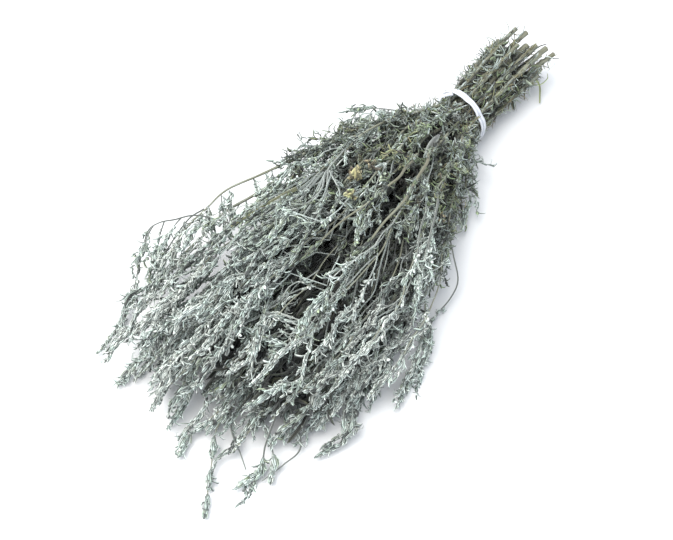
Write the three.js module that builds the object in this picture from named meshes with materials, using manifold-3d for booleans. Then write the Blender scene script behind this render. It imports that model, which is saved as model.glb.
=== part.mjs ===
// A tied bunch of dried wormwood, lying on a table: leafy stems cut to much the same length, held
// by one white elastic band near their cut ends, and fanned out and sagged flat beyond it.
// Millimetres. +Z is up, the table is Z = 0, and +X runs along the bunch towards the cut ends.
//
// Every stem keeps to a cell of its own through the whole bunch, so no two stems cross. A place in
// the bunch is given by s, the distance from the band towards the tips, and by u and v, sideways
// and upwards across the bunch, where the bunch fills the circle of radius 1.

import * as THREE from "three";
import { mergeVertices } from "three/addons/utils/BufferGeometryUtils.js";
import Module from "manifold-3d";

const wasm = await Module();
wasm.setup();

// The bunch as a whole
const STEM_COUNT = 26;
const FILLED_SHARE = 0.9; // of the bunch's radius, out to the outermost stems' middles
const GOLDEN_ANGLE = Math.PI * (3 - Math.sqrt(5));
const SEED = 71;

// How the bunch changes along its length, at stations 60 mm apart from 120 mm behind the band
const FIRST_STATION = -120;
const STATION_STEP = 60;
const NECK_RADIUS = 18.6;
const HALF_WIDTH = [26, 22, NECK_RADIUS, 46, 68, 84, 87, 78, 68];
const HALF_HEIGHT = [22, 20, NECK_RADIUS, 30, 35, 34, 28, 19, 12];
const MIDDLE_Y = [-18, -7, 0, 6, 10, 12, 15, 20, 20];
const UNDERSIDE_Z = [3, 2, 1.3, 1.3, 1.3, 1.3, 1.3, 1.3, 1.3];
const SAG_SHARE = [0, 0, 0, 0.45, 0.85, 1, 1, 1, 1]; // how far the sides have sagged
const LEAN_Y = [0, 0, 0, 3, 7, 12, 17, 21, 24]; // sideways, of the top over the underside
const LIVELINESS = [0.1, 0, 0, 0.5, 1, 1, 1, 1, 1]; // how freely the stems wander
const CELL_MARGIN = [0.3, 0.25, 0.15, 0.8, 0.6, 0.5, 0.45, 0.4, 0.4]; // within each cell's wall

const EDGE_DROP = 0.6; // of the half height, by which the sagged sides hang
const WANDER = { reach: 5, length: 46, turnOverHeight: 2.2 }; // sideways, layer by layer
const RIPPLE = { reach: 2, length: 33, turnOverWidth: 3 }; // up and down, side by side
const TABLE_SOFTNESS = 1.4; // how gently the lowest stems level out onto the table

// The stems
const CUT_END = -64;
const CUT_END_SPREAD = 24;
const STEM_RADIUS = 1.5;
const STEM_RADIUS_SPREAD = 1.2;
const TIP_RADIUS = 0.8;
const TIP_LENGTH = 6;
const PRESSED_RADIUS = 4; // with its leaves, in the band, where it fills its cell
const STEM_WIGGLE = { share: 0.035, lengthY: 37, lengthZ: 29 };
const REACH_AT_SIDES = { right: 202, middle: 274, left: 234 };
const REACH_SPREAD = 18;
const LEAFY_END = 96; // of the leafy stretch that starts at the band
const PLUME_LENGTH = 78; // of the flower plume at the stem's tip
const NEAREST_STATION = 9; // of a stem's rings to the band
const STEPS = { behindBand: 3, leafy: 4, bare: 3, plume: 5 }; // rings along each stretch

// Leaf points pressed round each stem: how far they stand out, by station and in the plume
const LEAF_POINT = [0.5, 1.4, 2.8, 4, 3.6];
const LEAF_POINT_PLUME = 3.1;
const LEAF_LEAN = 0.62; // of the way to the next ring, towards the tip
const LEAF_VARIETY = 0.45; // the share by which leaf points differ in size
const PLUME_FULL_SHARE = 0.85; // of the plume's length, where its last leaf points stand
const SLENDER_SHARE = 0.5; // of the leaf size and of the shoots' stretch, on a slender stem

// Flowering side shoots, in the outer part of the bunch, and leafy ones nearer the band
const FLOWERING = { count: 5, from: 72, length: 80, thickness: 0.5, leaf: 3, steps: 6 };
const LEAFY = { count: 1, from: 16, length: 60, thickness: 0.5, leaf: 3.2, steps: 3 };
const SHOOT_SIDES = 4;
const STALK_RADIUS = 0.9;
const SHOOT_START_SHARE = 0.84; // of the free stem, over which the shoots are set
const SHOOT_SCATTER = 0.7; // of the step from one shoot to the next
const SHORTEST_SHARE = 0.75; // of a shoot's usual length
const LENGTH_VARIETY = 0.4;
const SHOOT_SWAY = 0.6; // radians off the sideways direction
const SHOOT_REACH = 0.84; // of the way to the cell's wall
const OPEN_REACH = 0.13; // outwards past the stems, where no wall is met
const SHOOT_PAST_TIP = 14; // of a side shoot's last ring beyond the stem's own
const FULLEST_AT = 0.9; // of a shoot's length, past which it tapers no further
const LEAF_FULLNESS = 0.6; // under 1, the leaves stay large for most of the shoot
const LEAN_PAST_TIP = 18; // the most that a leaf point leans on beyond its ring
const LONGEST_PAST_TIP = SHOOT_PAST_TIP + TIP_LENGTH + LEAN_PAST_TIP;

// The band
const BAND_INNER_RADIUS = 19.2;
const BAND_THICKNESS = 1.2;
const BAND_WIDTH = 5;
const BAND_YAW = THREE.MathUtils.degToRad(-14);
const BAND_CENTRE_Z = 20; // lower than its outer radius: the table flattens its underside
const BAND_FACETS = 32;
const BAND_HOLD = 20; // the stretch on each side of the band where it keeps the stems together

// Stems that leave the bunch: the stem nearest to (u, v) bows out by this much at the peak
const STRAYS = [
  { u: 0.8, v: 0.45, from: 40, peak: 165, to: 300, outY: 34, outZ: 6, reach: 250 },
  { u: 0.9, v: -0.1, from: 60, peak: 190, to: 330, outY: 14, outZ: 2, reach: 246 },
  { u: -0.85, v: 0.1, from: 40, peak: 150, to: 300, outY: -12, outZ: 2, reach: 218 },
  { u: 0.1, v: -0.7, from: 275, peak: 350, to: 470, outY: -28, outZ: 0, reach: 343, slender: true },
];

// Finishes
const STEM_FINISH = { color: new THREE.Color(0.44, 0.47, 0.4), roughness: 0.9 };
const BAND_FINISH = { color: new THREE.Color(0.93, 0.93, 0.92), roughness: 0.6 };

// How finely the surfaces are joined
const SAME_POINT = 1e-4; // millimetres apart
const SLIVER = 0.25; // millimetres off the surface, up to which a crease is evened out
const CRUMB = 1; // cubic millimetres

// A value that follows its stations along the bunch on a smooth curve, level at highs and lows.
function along(stations, s) {
  const last = stations.length - 1;
  const place = THREE.MathUtils.clamp((s - FIRST_STATION) / STATION_STEP, 0, last);
  const rise = (k) => stations[k + 1] - stations[k];
  const slope = (k) => {
    if (k === 0 || k === last || rise(k - 1) * rise(k) <= 0) return 0;
    return (2 * rise(k - 1) * rise(k)) / (rise(k - 1) + rise(k));
  };
  const k = Math.min(Math.floor(place), last - 1);
  const t = place - k;
  const before = slope(k);
  const after = slope(k + 1);
  const bend = 3 * rise(k) - 2 * before - after + t * (before + after - 2 * rise(k));
  return stations[k] + t * (before + t * bend);
}

// Draws numbers from 0 to 1, always the same ones for the same seed.
function drawFrom(seed) {
  let state = seed >>> 0;
  return () => {
    state = (state + 0x6d2b79f5) >>> 0;
    let t = Math.imul(state ^ (state >>> 15), state | 1);
    t ^= t + Math.imul(t ^ (t >>> 7), t | 61);
    return ((t ^ (t >>> 14)) >>> 0) / 2 ** 32;
  };
}

// The point of the bunch at s, u, v.
function pointAt(s, u, v) {
  const lively = along(LIVELINESS, s);
  const height = along(HALF_HEIGHT, s);
  const y =
    along(MIDDLE_Y, s) +
    along(HALF_WIDTH, s) * u +
    along(LEAN_Y, s) * v +
    lively * WANDER.reach * Math.sin(s / WANDER.length + WANDER.turnOverHeight * v);
  const edge = Math.abs(u) < 1 ? EDGE_DROP * u * u : EDGE_DROP * (2 * Math.abs(u) - 1);
  const z =
    along(UNDERSIDE_Z, s) +
    height * (1 + v) -
    along(SAG_SHARE, s) * height * edge +
    lively * RIPPLE.reach * Math.sin(s / RIPPLE.length + RIPPLE.turnOverWidth * u);
  const level = (z + Math.sqrt(z * z + 4 * TABLE_SOFTNESS ** 2)) / 2;
  return new THREE.Vector3(-s, y, s > BAND_HOLD ? level : z);
}

// Where each stem stands in the bunch: seeds in a sunflower's head are spaced the same way.
const centres = Array.from({ length: STEM_COUNT }, (_, i) => {
  const radius = FILLED_SHARE * Math.sqrt((i + 0.5) / STEM_COUNT);
  const turn = i * GOLDEN_ANGLE;
  return new THREE.Vector2(radius * Math.cos(turn), radius * Math.sin(turn));
});

// The walls of each stem's cell: halfway to every other stem.
const walls = centres.map((own, i) =>
  centres
    .map((other, neighbour) => {
      const normal = other.clone().sub(own);
      const distance = normal.length() / 2;
      return { neighbour, normal: normal.normalize(), distance };
    })
    .filter(({ neighbour }) => neighbour !== i),
);

// Draws a place in towards the stem's own middle until it is inside the cell, and inside the band.
// A wall goes no further than the neighbour that it parts the stem from.
function keepInCell(i, s, u, v) {
  const out = new THREE.Vector2(u, v).sub(centres[i]);
  const width = along(HALF_WIDTH, s);
  const height = along(HALF_HEIGHT, s);
  let share = 1;
  for (const { neighbour, normal, distance } of walls[i]) {
    if (s > growths[neighbour].reach + LONGEST_PAST_TIP) continue;
    const margin = along(CELL_MARGIN, s) * Math.hypot(normal.x / width, normal.y / height);
    const over = normal.dot(out);
    if (over > distance - margin) share = Math.min(share, (distance - margin) / over);
  }
  const kept = centres[i].clone().addScaledVector(out, share);
  if (Math.abs(s) < BAND_HOLD) kept.clampLength(0, NECK_RADIUS / Math.max(width, height));
  return kept;
}

function solidOf(geometry) {
  const bare = geometry.clone();
  bare.deleteAttribute("normal");
  bare.deleteAttribute("uv");
  const merged = mergeVertices(bare, SAME_POINT);
  return new wasm.Manifold(
    new wasm.Mesh({
      numProp: 3,
      vertProperties: new Float32Array(merged.getAttribute("position").array),
      triVerts: new Uint32Array(merged.index.array),
    }),
  );
}

// Evens out slivers where leaves meet, and fills the small pockets that they close off between
// them: of all the skins only the outer one stays.
function outerSkin(solid) {
  return wasm.Manifold.union(
    solid
      .simplify(SLIVER)
      .decompose()
      .filter((skin) => skin.volume() > CRUMB),
  );
}

function geometryOf(solid) {
  const mesh = solid.getMesh();
  const geometry = new THREE.BufferGeometry();
  geometry.setAttribute("position", new THREE.BufferAttribute(mesh.vertProperties, mesh.numProp));
  geometry.setIndex(new THREE.BufferAttribute(mesh.triVerts, 1));
  geometry.computeVertexNormals();
  return geometry;
}

// A tapering shoot through its rings, inside the cell of stem i. Every other corner stands out as a
// leaf point, in pairs that alternate up the shoot, and leans towards the tip.
function shoot(i, rings) {
  const draw = drawFrom(SEED * i + Math.round(rings[1].s));
  const steps = rings.length - 1;
  const form = new THREE.CylinderGeometry(1, 1, 1, SHOOT_SIDES, steps);
  form.deleteAttribute("normal");
  form.deleteAttribute("uv");
  const skin = mergeVertices(form);
  const corner = skin.getAttribute("position");
  for (let k = 0; k < corner.count; k++) {
    const out = new THREE.Vector2(corner.getX(k), corner.getZ(k));
    const row = Math.round((corner.getY(k) + 0.5) * steps);
    const ring = rings[row];
    const side = Math.round((out.angle() / (2 * Math.PI)) * SHOOT_SIDES);
    const onAxis = out.length() < 0.5;
    const standsOut = !onAxis && (row + side) % 2 === 1;
    const variety = 1 + LEAF_VARIETY * (2 * draw() - 1);
    let { s } = ring;
    if (standsOut && ring.leaf > 0 && row < steps) s += LEAF_LEAN * (rings[row + 1].s - s);
    if (onAxis && row === steps) s += TIP_LENGTH;
    out.multiplyScalar(onAxis ? 0 : ring.radius + (standsOut ? ring.leaf * variety : 0));
    const u = ring.u + out.x / along(HALF_WIDTH, s);
    const v = ring.v + out.y / along(HALF_HEIGHT, s);
    const kept = keepInCell(i, s, u, v);
    const point = pointAt(s, kept.x, kept.y);
    corner.setXYZ(k, point.x, point.y, Math.max(point.z, 0));
  }
  return solidOf(skin);
}

const strayOf = new Map(
  STRAYS.map((stray) => {
    const target = new THREE.Vector2(stray.u, stray.v);
    const distances = centres.map((centre) => centre.distanceTo(target));
    return [distances.indexOf(Math.min(...distances)), stray];
  }),
);

// How far a stem bows out of its place at s, as an offset in u and v.
function bow(stray, s) {
  if (!stray || s < stray.from || s > stray.to) return { u: 0, v: 0 };
  const span = s < stray.peak ? stray.peak - stray.from : stray.to - stray.peak;
  const t = 1 - Math.abs(s - stray.peak) / span;
  const share = t * t * (3 - 2 * t);
  return {
    u: (stray.outY * share) / along(HALF_WIDTH, s),
    v: (stray.outZ * share) / along(HALF_HEIGHT, s),
  };
}

// The length that a stem at this place across the bunch reaches.
function reachAt(u) {
  const { right, middle, left } = REACH_AT_SIDES;
  const side = u < 0 ? right : left;
  return middle + (side - middle) * u * u;
}

// The stations of a stem's rings: few up the bare stalk, and more where its leaves are.
function stationsOf(cut, reach) {
  const stretches = [
    [cut, -NEAREST_STATION, STEPS.behindBand],
    [-NEAREST_STATION, NEAREST_STATION, 1],
    [NEAREST_STATION, LEAFY_END, STEPS.leafy],
    [LEAFY_END, reach - PLUME_LENGTH, STEPS.bare],
    [reach - PLUME_LENGTH, reach, STEPS.plume],
  ];
  const beyondCut = stretches.flatMap(([from, to, steps]) =>
    Array.from({ length: steps }, (_, k) => THREE.MathUtils.lerp(from, to, (k + 1) / steps)),
  );
  return [cut, ...beyondCut];
}

// Everything that is settled by the draw for stem i, before any of its surface is made.
function growthOf(i) {
  const draw = drawFrom(SEED + i);
  const centre = centres[i];
  const stray = strayOf.get(i);
  const leafShare = stray?.slender ? SLENDER_SHARE : 1;
  const cut = CUT_END - CUT_END_SPREAD * draw();
  const reach = (stray ? stray.reach : reachAt(centre.x)) + REACH_SPREAD * (2 * draw() - 1);
  const radius = STEM_RADIUS + STEM_RADIUS_SPREAD * draw() ** 2;
  const phase = 2 * Math.PI * draw();
  const firstSide = draw() < 0.5 ? 0 : Math.PI;
  const stations = stationsOf(cut, reach);
  const at = (s) => {
    const out = bow(stray, s);
    const wiggle = STEM_WIGGLE.share * along(LIVELINESS, s);
    return {
      s,
      u: centre.x + out.u + wiggle * Math.sin(s / STEM_WIGGLE.lengthY + phase),
      v: centre.y + out.v + wiggle * Math.cos(s / STEM_WIGGLE.lengthZ + phase),
    };
  };
  // A side shoot starts from the stem's nearest ring.
  const shootsOf = (kind, to) =>
    Array.from({ length: kind.count }, (_, k) => {
      const wanted = kind.from + (to - kind.from) * ((k + SHOOT_SCATTER * draw()) / kind.count);
      const start = stations.reduce((a, b) => (Math.abs(b - wanted) < Math.abs(a - wanted) ? b : a));
      const turn = k * Math.PI + firstSide + SHOOT_SWAY * (2 * draw() - 1);
      const length = kind.length * (SHORTEST_SHARE + LENGTH_VARIETY * draw());
      return { kind, start, turn, length: Math.min(length, reach + SHOOT_PAST_TIP - start) };
    });
  const span = SHOOT_START_SHARE * leafShare * (reach - FLOWERING.from);
  const flowering = shootsOf(FLOWERING, FLOWERING.from + span);
  const leafy = shootsOf(LEAFY, FLOWERING.from);
  return { i, cut, reach, radius, leafShare, stations, at, shoots: [...leafy, ...flowering] };
}

const growths = centres.map((_, i) => growthOf(i));

// The rings of a side shoot: it leaves the stem at once, then runs on beside it towards the tips.
function shootRings(growth, { kind, start, turn, length }) {
  const root = growth.at(start);
  const far = keepInCell(growth.i, start + length, root.u + Math.cos(turn), root.v + Math.sin(turn));
  const away = new THREE.Vector2(far.x - root.u, far.y - root.v);
  away.clampLength(0, OPEN_REACH / SHOOT_REACH);
  return Array.from({ length: kind.steps + 1 }, (_, k) => {
    const t = k / kind.steps;
    const s = start + length * t;
    const beside = growth.at(s);
    const out = SHOOT_REACH * (1 - (1 - t) ** 3);
    const swell = Math.sin(Math.PI * Math.min(t, FULLEST_AT));
    return {
      s,
      u: beside.u + away.x * out,
      v: beside.v + away.y * out,
      radius: STALK_RADIUS + kind.thickness * swell,
      leaf: growth.leafShare * kind.leaf * swell ** LEAF_FULLNESS,
    };
  });
}

function stemRings({ cut, reach, radius, leafShare, stations, at }) {
  return stations.map((s) => {
    const inPlume = THREE.MathUtils.clamp(1 - (reach - s) / PLUME_LENGTH, 0, PLUME_FULL_SHARE);
    const plume = leafShare * LEAF_POINT_PLUME * Math.sin(Math.PI * inPlume);
    const pressed = Math.abs(s) <= NEAREST_STATION;
    const taper = THREE.MathUtils.lerp(radius, TIP_RADIUS, (s - cut) / (reach - cut));
    return {
      ...at(s),
      radius: pressed ? PRESSED_RADIUS : taper,
      leaf: pressed || s === cut ? 0 : s <= LEAFY_END ? along(LEAF_POINT, s) : plume,
    };
  });
}

function stemSolid(growth) {
  let solid = shoot(growth.i, stemRings(growth));
  for (const side of growth.shoots) solid = solid.add(shoot(growth.i, shootRings(growth, side)));
  return outerSkin(solid);
}

// A flat ring round the bunch, with its underside pressed level by the table.
function bandSolid() {
  const outer = BAND_INNER_RADIUS + BAND_THICKNESS;
  const half = BAND_WIDTH / 2;
  const profile = [
    [BAND_INNER_RADIUS, -half],
    [outer, -half],
    [outer, half],
    [BAND_INNER_RADIUS, half],
    [BAND_INNER_RADIUS, -half],
  ].map(([x, y]) => new THREE.Vector2(x, y));
  const ring = new THREE.LatheGeometry(profile, BAND_FACETS);
  ring.rotateZ(BAND_YAW - Math.PI / 2);
  ring.translate(0, 0, BAND_CENTRE_Z);
  const table = new THREE.BoxGeometry(4 * outer, 4 * outer, outer);
  table.translate(0, 0, -outer / 2);
  return solidOf(ring).subtract(solidOf(table));
}

const bunch = new THREE.Group();

function addMesh(name, solid, finish) {
  const material = new THREE.MeshStandardMaterial({ ...finish, metalness: 0 });
  const mesh = new THREE.Mesh(geometryOf(solid), material);
  mesh.name = name;
  bunch.add(mesh);
}

for (const growth of growths) {
  const number = String(growth.i + 1).padStart(2, "0");
  addMesh(`leafy_stem_${number}`, stemSolid(growth), STEM_FINISH);
}
addMesh("band", bandSolid(), BAND_FINISH);

// The bunch rests on Z = 0, round the middle of the surface that it covers.
const box = new THREE.Box3().setFromObject(bunch);
const middle = box.getCenter(new THREE.Vector3());
bunch.position.set(-middle.x, -middle.y, -box.min.z);

export default bunch;
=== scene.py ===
"""A tied bunch of dried wormwood: fine stalks, curled leaves, flower buds and the elastic band.

Lengths are worked out in millimetres and turned to metres when a mesh is made. A place in the bunch
is given by s, the distance from the band towards the tips, and by u and v, sideways and upwards
across the bunch, where the bunch fills the circle of radius 1.
"""

import math

import bpy
import numpy as np
from bpy.props import FloatProperty, FloatVectorProperty, IntProperty, PointerProperty
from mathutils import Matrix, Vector


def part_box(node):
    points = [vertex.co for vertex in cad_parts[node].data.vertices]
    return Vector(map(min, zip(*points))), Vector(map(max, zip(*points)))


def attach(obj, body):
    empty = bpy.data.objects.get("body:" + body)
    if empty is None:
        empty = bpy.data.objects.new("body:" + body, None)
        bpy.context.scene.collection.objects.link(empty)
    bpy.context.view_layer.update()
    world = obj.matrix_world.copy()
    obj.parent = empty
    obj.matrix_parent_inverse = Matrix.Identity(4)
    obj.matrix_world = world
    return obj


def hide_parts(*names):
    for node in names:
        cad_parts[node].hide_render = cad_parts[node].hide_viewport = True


bl_info = {
    "name": "Dried wormwood bunch",
    "version": (1, 0, 0),
    "blender": (4, 5, 0),
    "location": "View3D > Sidebar > Wormwood",
    "description": "Builds the foliage, stalks and elastic band of a tied bunch of dried wormwood",
    "category": "Object",
}

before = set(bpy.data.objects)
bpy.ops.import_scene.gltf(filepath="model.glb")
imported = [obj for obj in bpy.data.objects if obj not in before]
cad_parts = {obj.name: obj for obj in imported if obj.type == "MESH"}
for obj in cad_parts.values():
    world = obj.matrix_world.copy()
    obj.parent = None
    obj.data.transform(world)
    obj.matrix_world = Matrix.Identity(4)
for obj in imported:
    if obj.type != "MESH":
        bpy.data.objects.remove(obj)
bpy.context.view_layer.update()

MM = 0.001
BAND_LOW, BAND_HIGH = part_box("band")
BAND_MIDDLE = (BAND_LOW + BAND_HIGH) / 2
STEM_NODES = sorted(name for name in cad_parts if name.startswith("leafy_stem_"))

# The bunch as a whole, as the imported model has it
STEM_COUNT = len(STEM_NODES)
FILLED_SHARE = 0.9
GOLDEN_ANGLE = math.pi * (3 - math.sqrt(5))
SEED = 71
FIRST_STATION = -120
STATION_STEP = 60
NECK_RADIUS = 18.6
HALF_WIDTH = [26, 22, NECK_RADIUS, 46, 68, 84, 87, 78, 68]
HALF_HEIGHT = [22, 20, NECK_RADIUS, 30, 35, 34, 28, 19, 12]
MIDDLE_Y = [-18, -7, 0, 6, 10, 12, 15, 20, 20]
UNDERSIDE_Z = [3, 2, 1.3, 1.3, 1.3, 1.3, 1.3, 1.3, 1.3]
SAG_SHARE = [0, 0, 0, 0.45, 0.85, 1, 1, 1, 1]
LEAN_Y = [0, 0, 0, 3, 7, 12, 17, 21, 24]
LIVELINESS = [0.1, 0, 0, 0.5, 1, 1, 1, 1, 1]
CELL_MARGIN = [0.3, 0.25, 0.15, 0.8, 0.6, 0.5, 0.45, 0.4, 0.4]
EDGE_DROP = 0.6
WANDER_REACH, WANDER_LENGTH, WANDER_TURN = 5, 46, 2.2
RIPPLE_REACH, RIPPLE_LENGTH, RIPPLE_TURN = 2, 33, 3
TABLE_SOFTNESS = 1.4
BAND_HOLD = 20

# The stems and their shared side shoots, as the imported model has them
CUT_END, CUT_END_SPREAD = -64, 24
STEM_RADIUS, STEM_RADIUS_SPREAD = 1.5, 1.2
WIGGLE_SHARE, WIGGLE_LENGTH_Y, WIGGLE_LENGTH_Z = 0.035, 37, 29
REACH_RIGHT, REACH_MIDDLE, REACH_LEFT = 202, 274, 234
REACH_SPREAD = 18
LEAFY_END = 96
PLUME_LENGTH = 78
NEAREST_STATION = 9
STEPS_BEHIND, STEPS_LEAFY, STEPS_BARE, STEPS_PLUME = 3, 4, 3, 5
FLOWERING = {"count": 5, "from": 72, "length": 80}
LEAFY = {"count": 1, "from": 16, "length": 60}
SHOOT_START_SHARE = 0.84
SHOOT_SCATTER = 0.7
SHORTEST_SHARE, LENGTH_VARIETY = 0.75, 0.4
SHOOT_SWAY = 0.6
SHOOT_REACH = 0.84
OPEN_REACH = 0.13
SHOOT_PAST_TIP = 14
LONGEST_PAST_TIP = 38
SLENDER_SHARE = 0.5
STRAYS = [
    {
        "u": 0.8, "v": 0.45, "span": (40, 165, 300), "out": (34, 6), "reach": 250,
        "bare": (112, 182), "clusters": 9,
    },
    {
        "u": 0.9, "v": -0.1, "span": (60, 190, 330), "out": (14, 2), "reach": 246,
        "bare": (100, 160), "clusters": 4,
    },
    {"u": -0.85, "v": 0.1, "span": (40, 150, 300), "out": (-12, 2), "reach": 218},
    {"u": 0.1, "v": -0.7, "span": (275, 350, 470), "out": (-28, 0), "reach": 343, "slender": True},
]

# Where each finish keeps its colours on the map: across is a turn or a tone's strip, up is a length
MAP_NAME = "OFBake"
LEAF_ROW = 0.115  # the leaf finish has a row for each step darker, from 0 up; growth deep in the bunch takes them as painted shade
ROW_MARGIN = 0.03
DEEPEST = 3
CUT_MAP = (0.5, 0.56)
CUT_MARGIN = 0.02
BARK_MAP = (0.6, 1.0)
TONE_STRIPS = 32
STRIP_MARGIN = 0.06
LEAF_LOOK, BARK_LOOK, CUT_LOOK = 0, 1, 2

# Tones of leaves, buds and thin stalks, from dead brown to silver and pale straw
TONE_DEAD, TONE_BROWN, TONE_OCHRE, TONE_OLIVE = 0.0, 0.12, 0.2, 0.3
TONE_GREEN, TONE_GREY_GREEN, TONE_SILVER, TONE_PALE_SILVER, TONE_STRAW = 0.42, 0.56, 0.76, 0.88, 0.97

# What lies deep in the bunch gets painted shade, darker at each step, and what doesn't show is wider
# apart
DEPTH_RADII = (0.75, 0.55, 0.35)  # of the bunch, each a step deeper
DEPTH_PAINTED_SHADE, DEPTH_TONE = 0.3, 0.04  # painted shade: light lost at each step deeper; the tone lost is partly duller inner growth and partly painted shade
HIDDEN_SPACING = 2.5
HIDDEN_BELOW, HIDDEN_BESIDE = -0.5, 0.5  # stems as low as this, and as near the middle, don't show
SPARSE_TO, SPARSE_SPACING = -0.6, 1.35  # growth is sparse on the right side too

# Outlines of the small forms, as shares of their width from the root towards the tip
LOBE_OUTLINE = ((0, 0.55), (0.4, 1.0), (0.8, 0.75))
PETAL_OUTLINE = ((0, 0.35), (0.2, 0.8), (0.4, 1.0), (0.6, 0.95), (0.8, 0.7), (0.93, 0.35))
TWIG_OUTLINE = ((0, 1.0), (0.25, 0.9), (0.5, 0.8), (0.75, 0.65))
BUD_OUTLINE = ((0.22, 0.85), (0.68, 0.8))
KEEL = 1.2  # how far a lobe's underside stands out, as a share of its half width
# Where the leaf finish's painted highlight and painted shade fall round each form: pale near 0 and 1,
# dark at 0.5
LOBE_ACROSS = (0, 1, 0.5, 0)
STALK_ACROSS = (0.1, 0.6, 1, 0.6, 0.1)
BUD_ACROSS = (0.3, 0.9, 1, 0.8, 0.3)

# Directions that no bud and no leaf's axis follows, to work out one that is square to it
OFF_BUDS, OFF_AXES = (0.31, 0.2, 0.93), (0.1, 0.2, 0.97)
DOWN = (0.02, 0.03, -1.0)  # a little askew, because no shoot points quite this way
STEP_AHEAD = 2  # over which a stem's own direction is taken
ANY_PHASE = (0, 6)


def along(stations, s):
    """A value that follows its stations along the bunch on a smooth curve, level at highs and lows."""
    stations = np.asarray(stations, float)
    rise = np.diff(stations)
    slope = np.zeros(len(stations))
    product = rise[:-1] * rise[1:]
    total = np.where(product > 0, rise[:-1] + rise[1:], 1)
    slope[1:-1] = np.where(product > 0, 2 * product / total, 0)
    place = np.clip((np.asarray(s, float) - FIRST_STATION) / STATION_STEP, 0, len(rise))
    k = np.minimum(place.astype(int), len(rise) - 1)
    t = place - k
    bend = 3 * rise[k] - 2 * slope[k] - slope[k + 1] + t * (slope[k] + slope[k + 1] - 2 * rise[k])
    return stations[k] + t * (slope[k] + t * bend)


def draw_from(seed):
    """Draws numbers from 0 to 1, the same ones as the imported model's."""
    state = seed & 0xFFFFFFFF
    while True:
        state = (state + 0x6D2B79F5) & 0xFFFFFFFF
        t = ((state ^ (state >> 15)) * (state | 1)) & 0xFFFFFFFF
        t ^= (t + ((t ^ (t >> 7)) * (t | 61) & 0xFFFFFFFF)) & 0xFFFFFFFF
        yield (t ^ (t >> 14)) / 2**32


def point_at(s, u, v):
    """The points of the bunch at s, u, v, in millimetres from the band's middle."""
    s, u, v = np.broadcast_arrays(np.asarray(s, float), u, v)
    lively = along(LIVELINESS, s)
    height = along(HALF_HEIGHT, s)
    y = along(MIDDLE_Y, s) + along(HALF_WIDTH, s) * u + along(LEAN_Y, s) * v
    y = y + lively * WANDER_REACH * np.sin(s / WANDER_LENGTH + WANDER_TURN * v)
    edge = EDGE_DROP * np.where(np.abs(u) < 1, u * u, 2 * np.abs(u) - 1)
    z = along(UNDERSIDE_Z, s) + height * (1 + v) - along(SAG_SHARE, s) * height * edge
    z = z + lively * RIPPLE_REACH * np.sin(s / RIPPLE_LENGTH + RIPPLE_TURN * u)
    level = (z + np.sqrt(z * z + 4 * TABLE_SOFTNESS**2)) / 2
    return np.stack([-s, y, np.where(s > BAND_HOLD, level, z)], -1)


def stem_centres():
    """Where each stem stands across the bunch."""
    i = np.arange(STEM_COUNT)
    radius = FILLED_SHARE * np.sqrt((i + 0.5) / STEM_COUNT)
    return np.stack([radius * np.cos(i * GOLDEN_ANGLE), radius * np.sin(i * GOLDEN_ANGLE)], -1)


CENTRES = stem_centres()


def stray_stems():
    """The stems that leave the bunch, by number."""
    found = {}
    for stray in STRAYS:
        far = np.linalg.norm(CENTRES - [stray["u"], stray["v"]], axis=1)
        found[int(far.argmin())] = stray
    return found


STRAY_OF = stray_stems()


def stations_of(cut, reach):
    """The stations of a stem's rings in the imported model, where its shared shoots start."""
    stretches = [
        (cut, -NEAREST_STATION, STEPS_BEHIND),
        (-NEAREST_STATION, NEAREST_STATION, 1),
        (NEAREST_STATION, LEAFY_END, STEPS_LEAFY),
        (LEAFY_END, reach - PLUME_LENGTH, STEPS_BARE),
        (reach - PLUME_LENGTH, reach, STEPS_PLUME),
    ]
    parts = [np.linspace(start, end, steps + 1)[1:] for start, end, steps in stretches]
    return np.concatenate([[cut], *parts])


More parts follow.
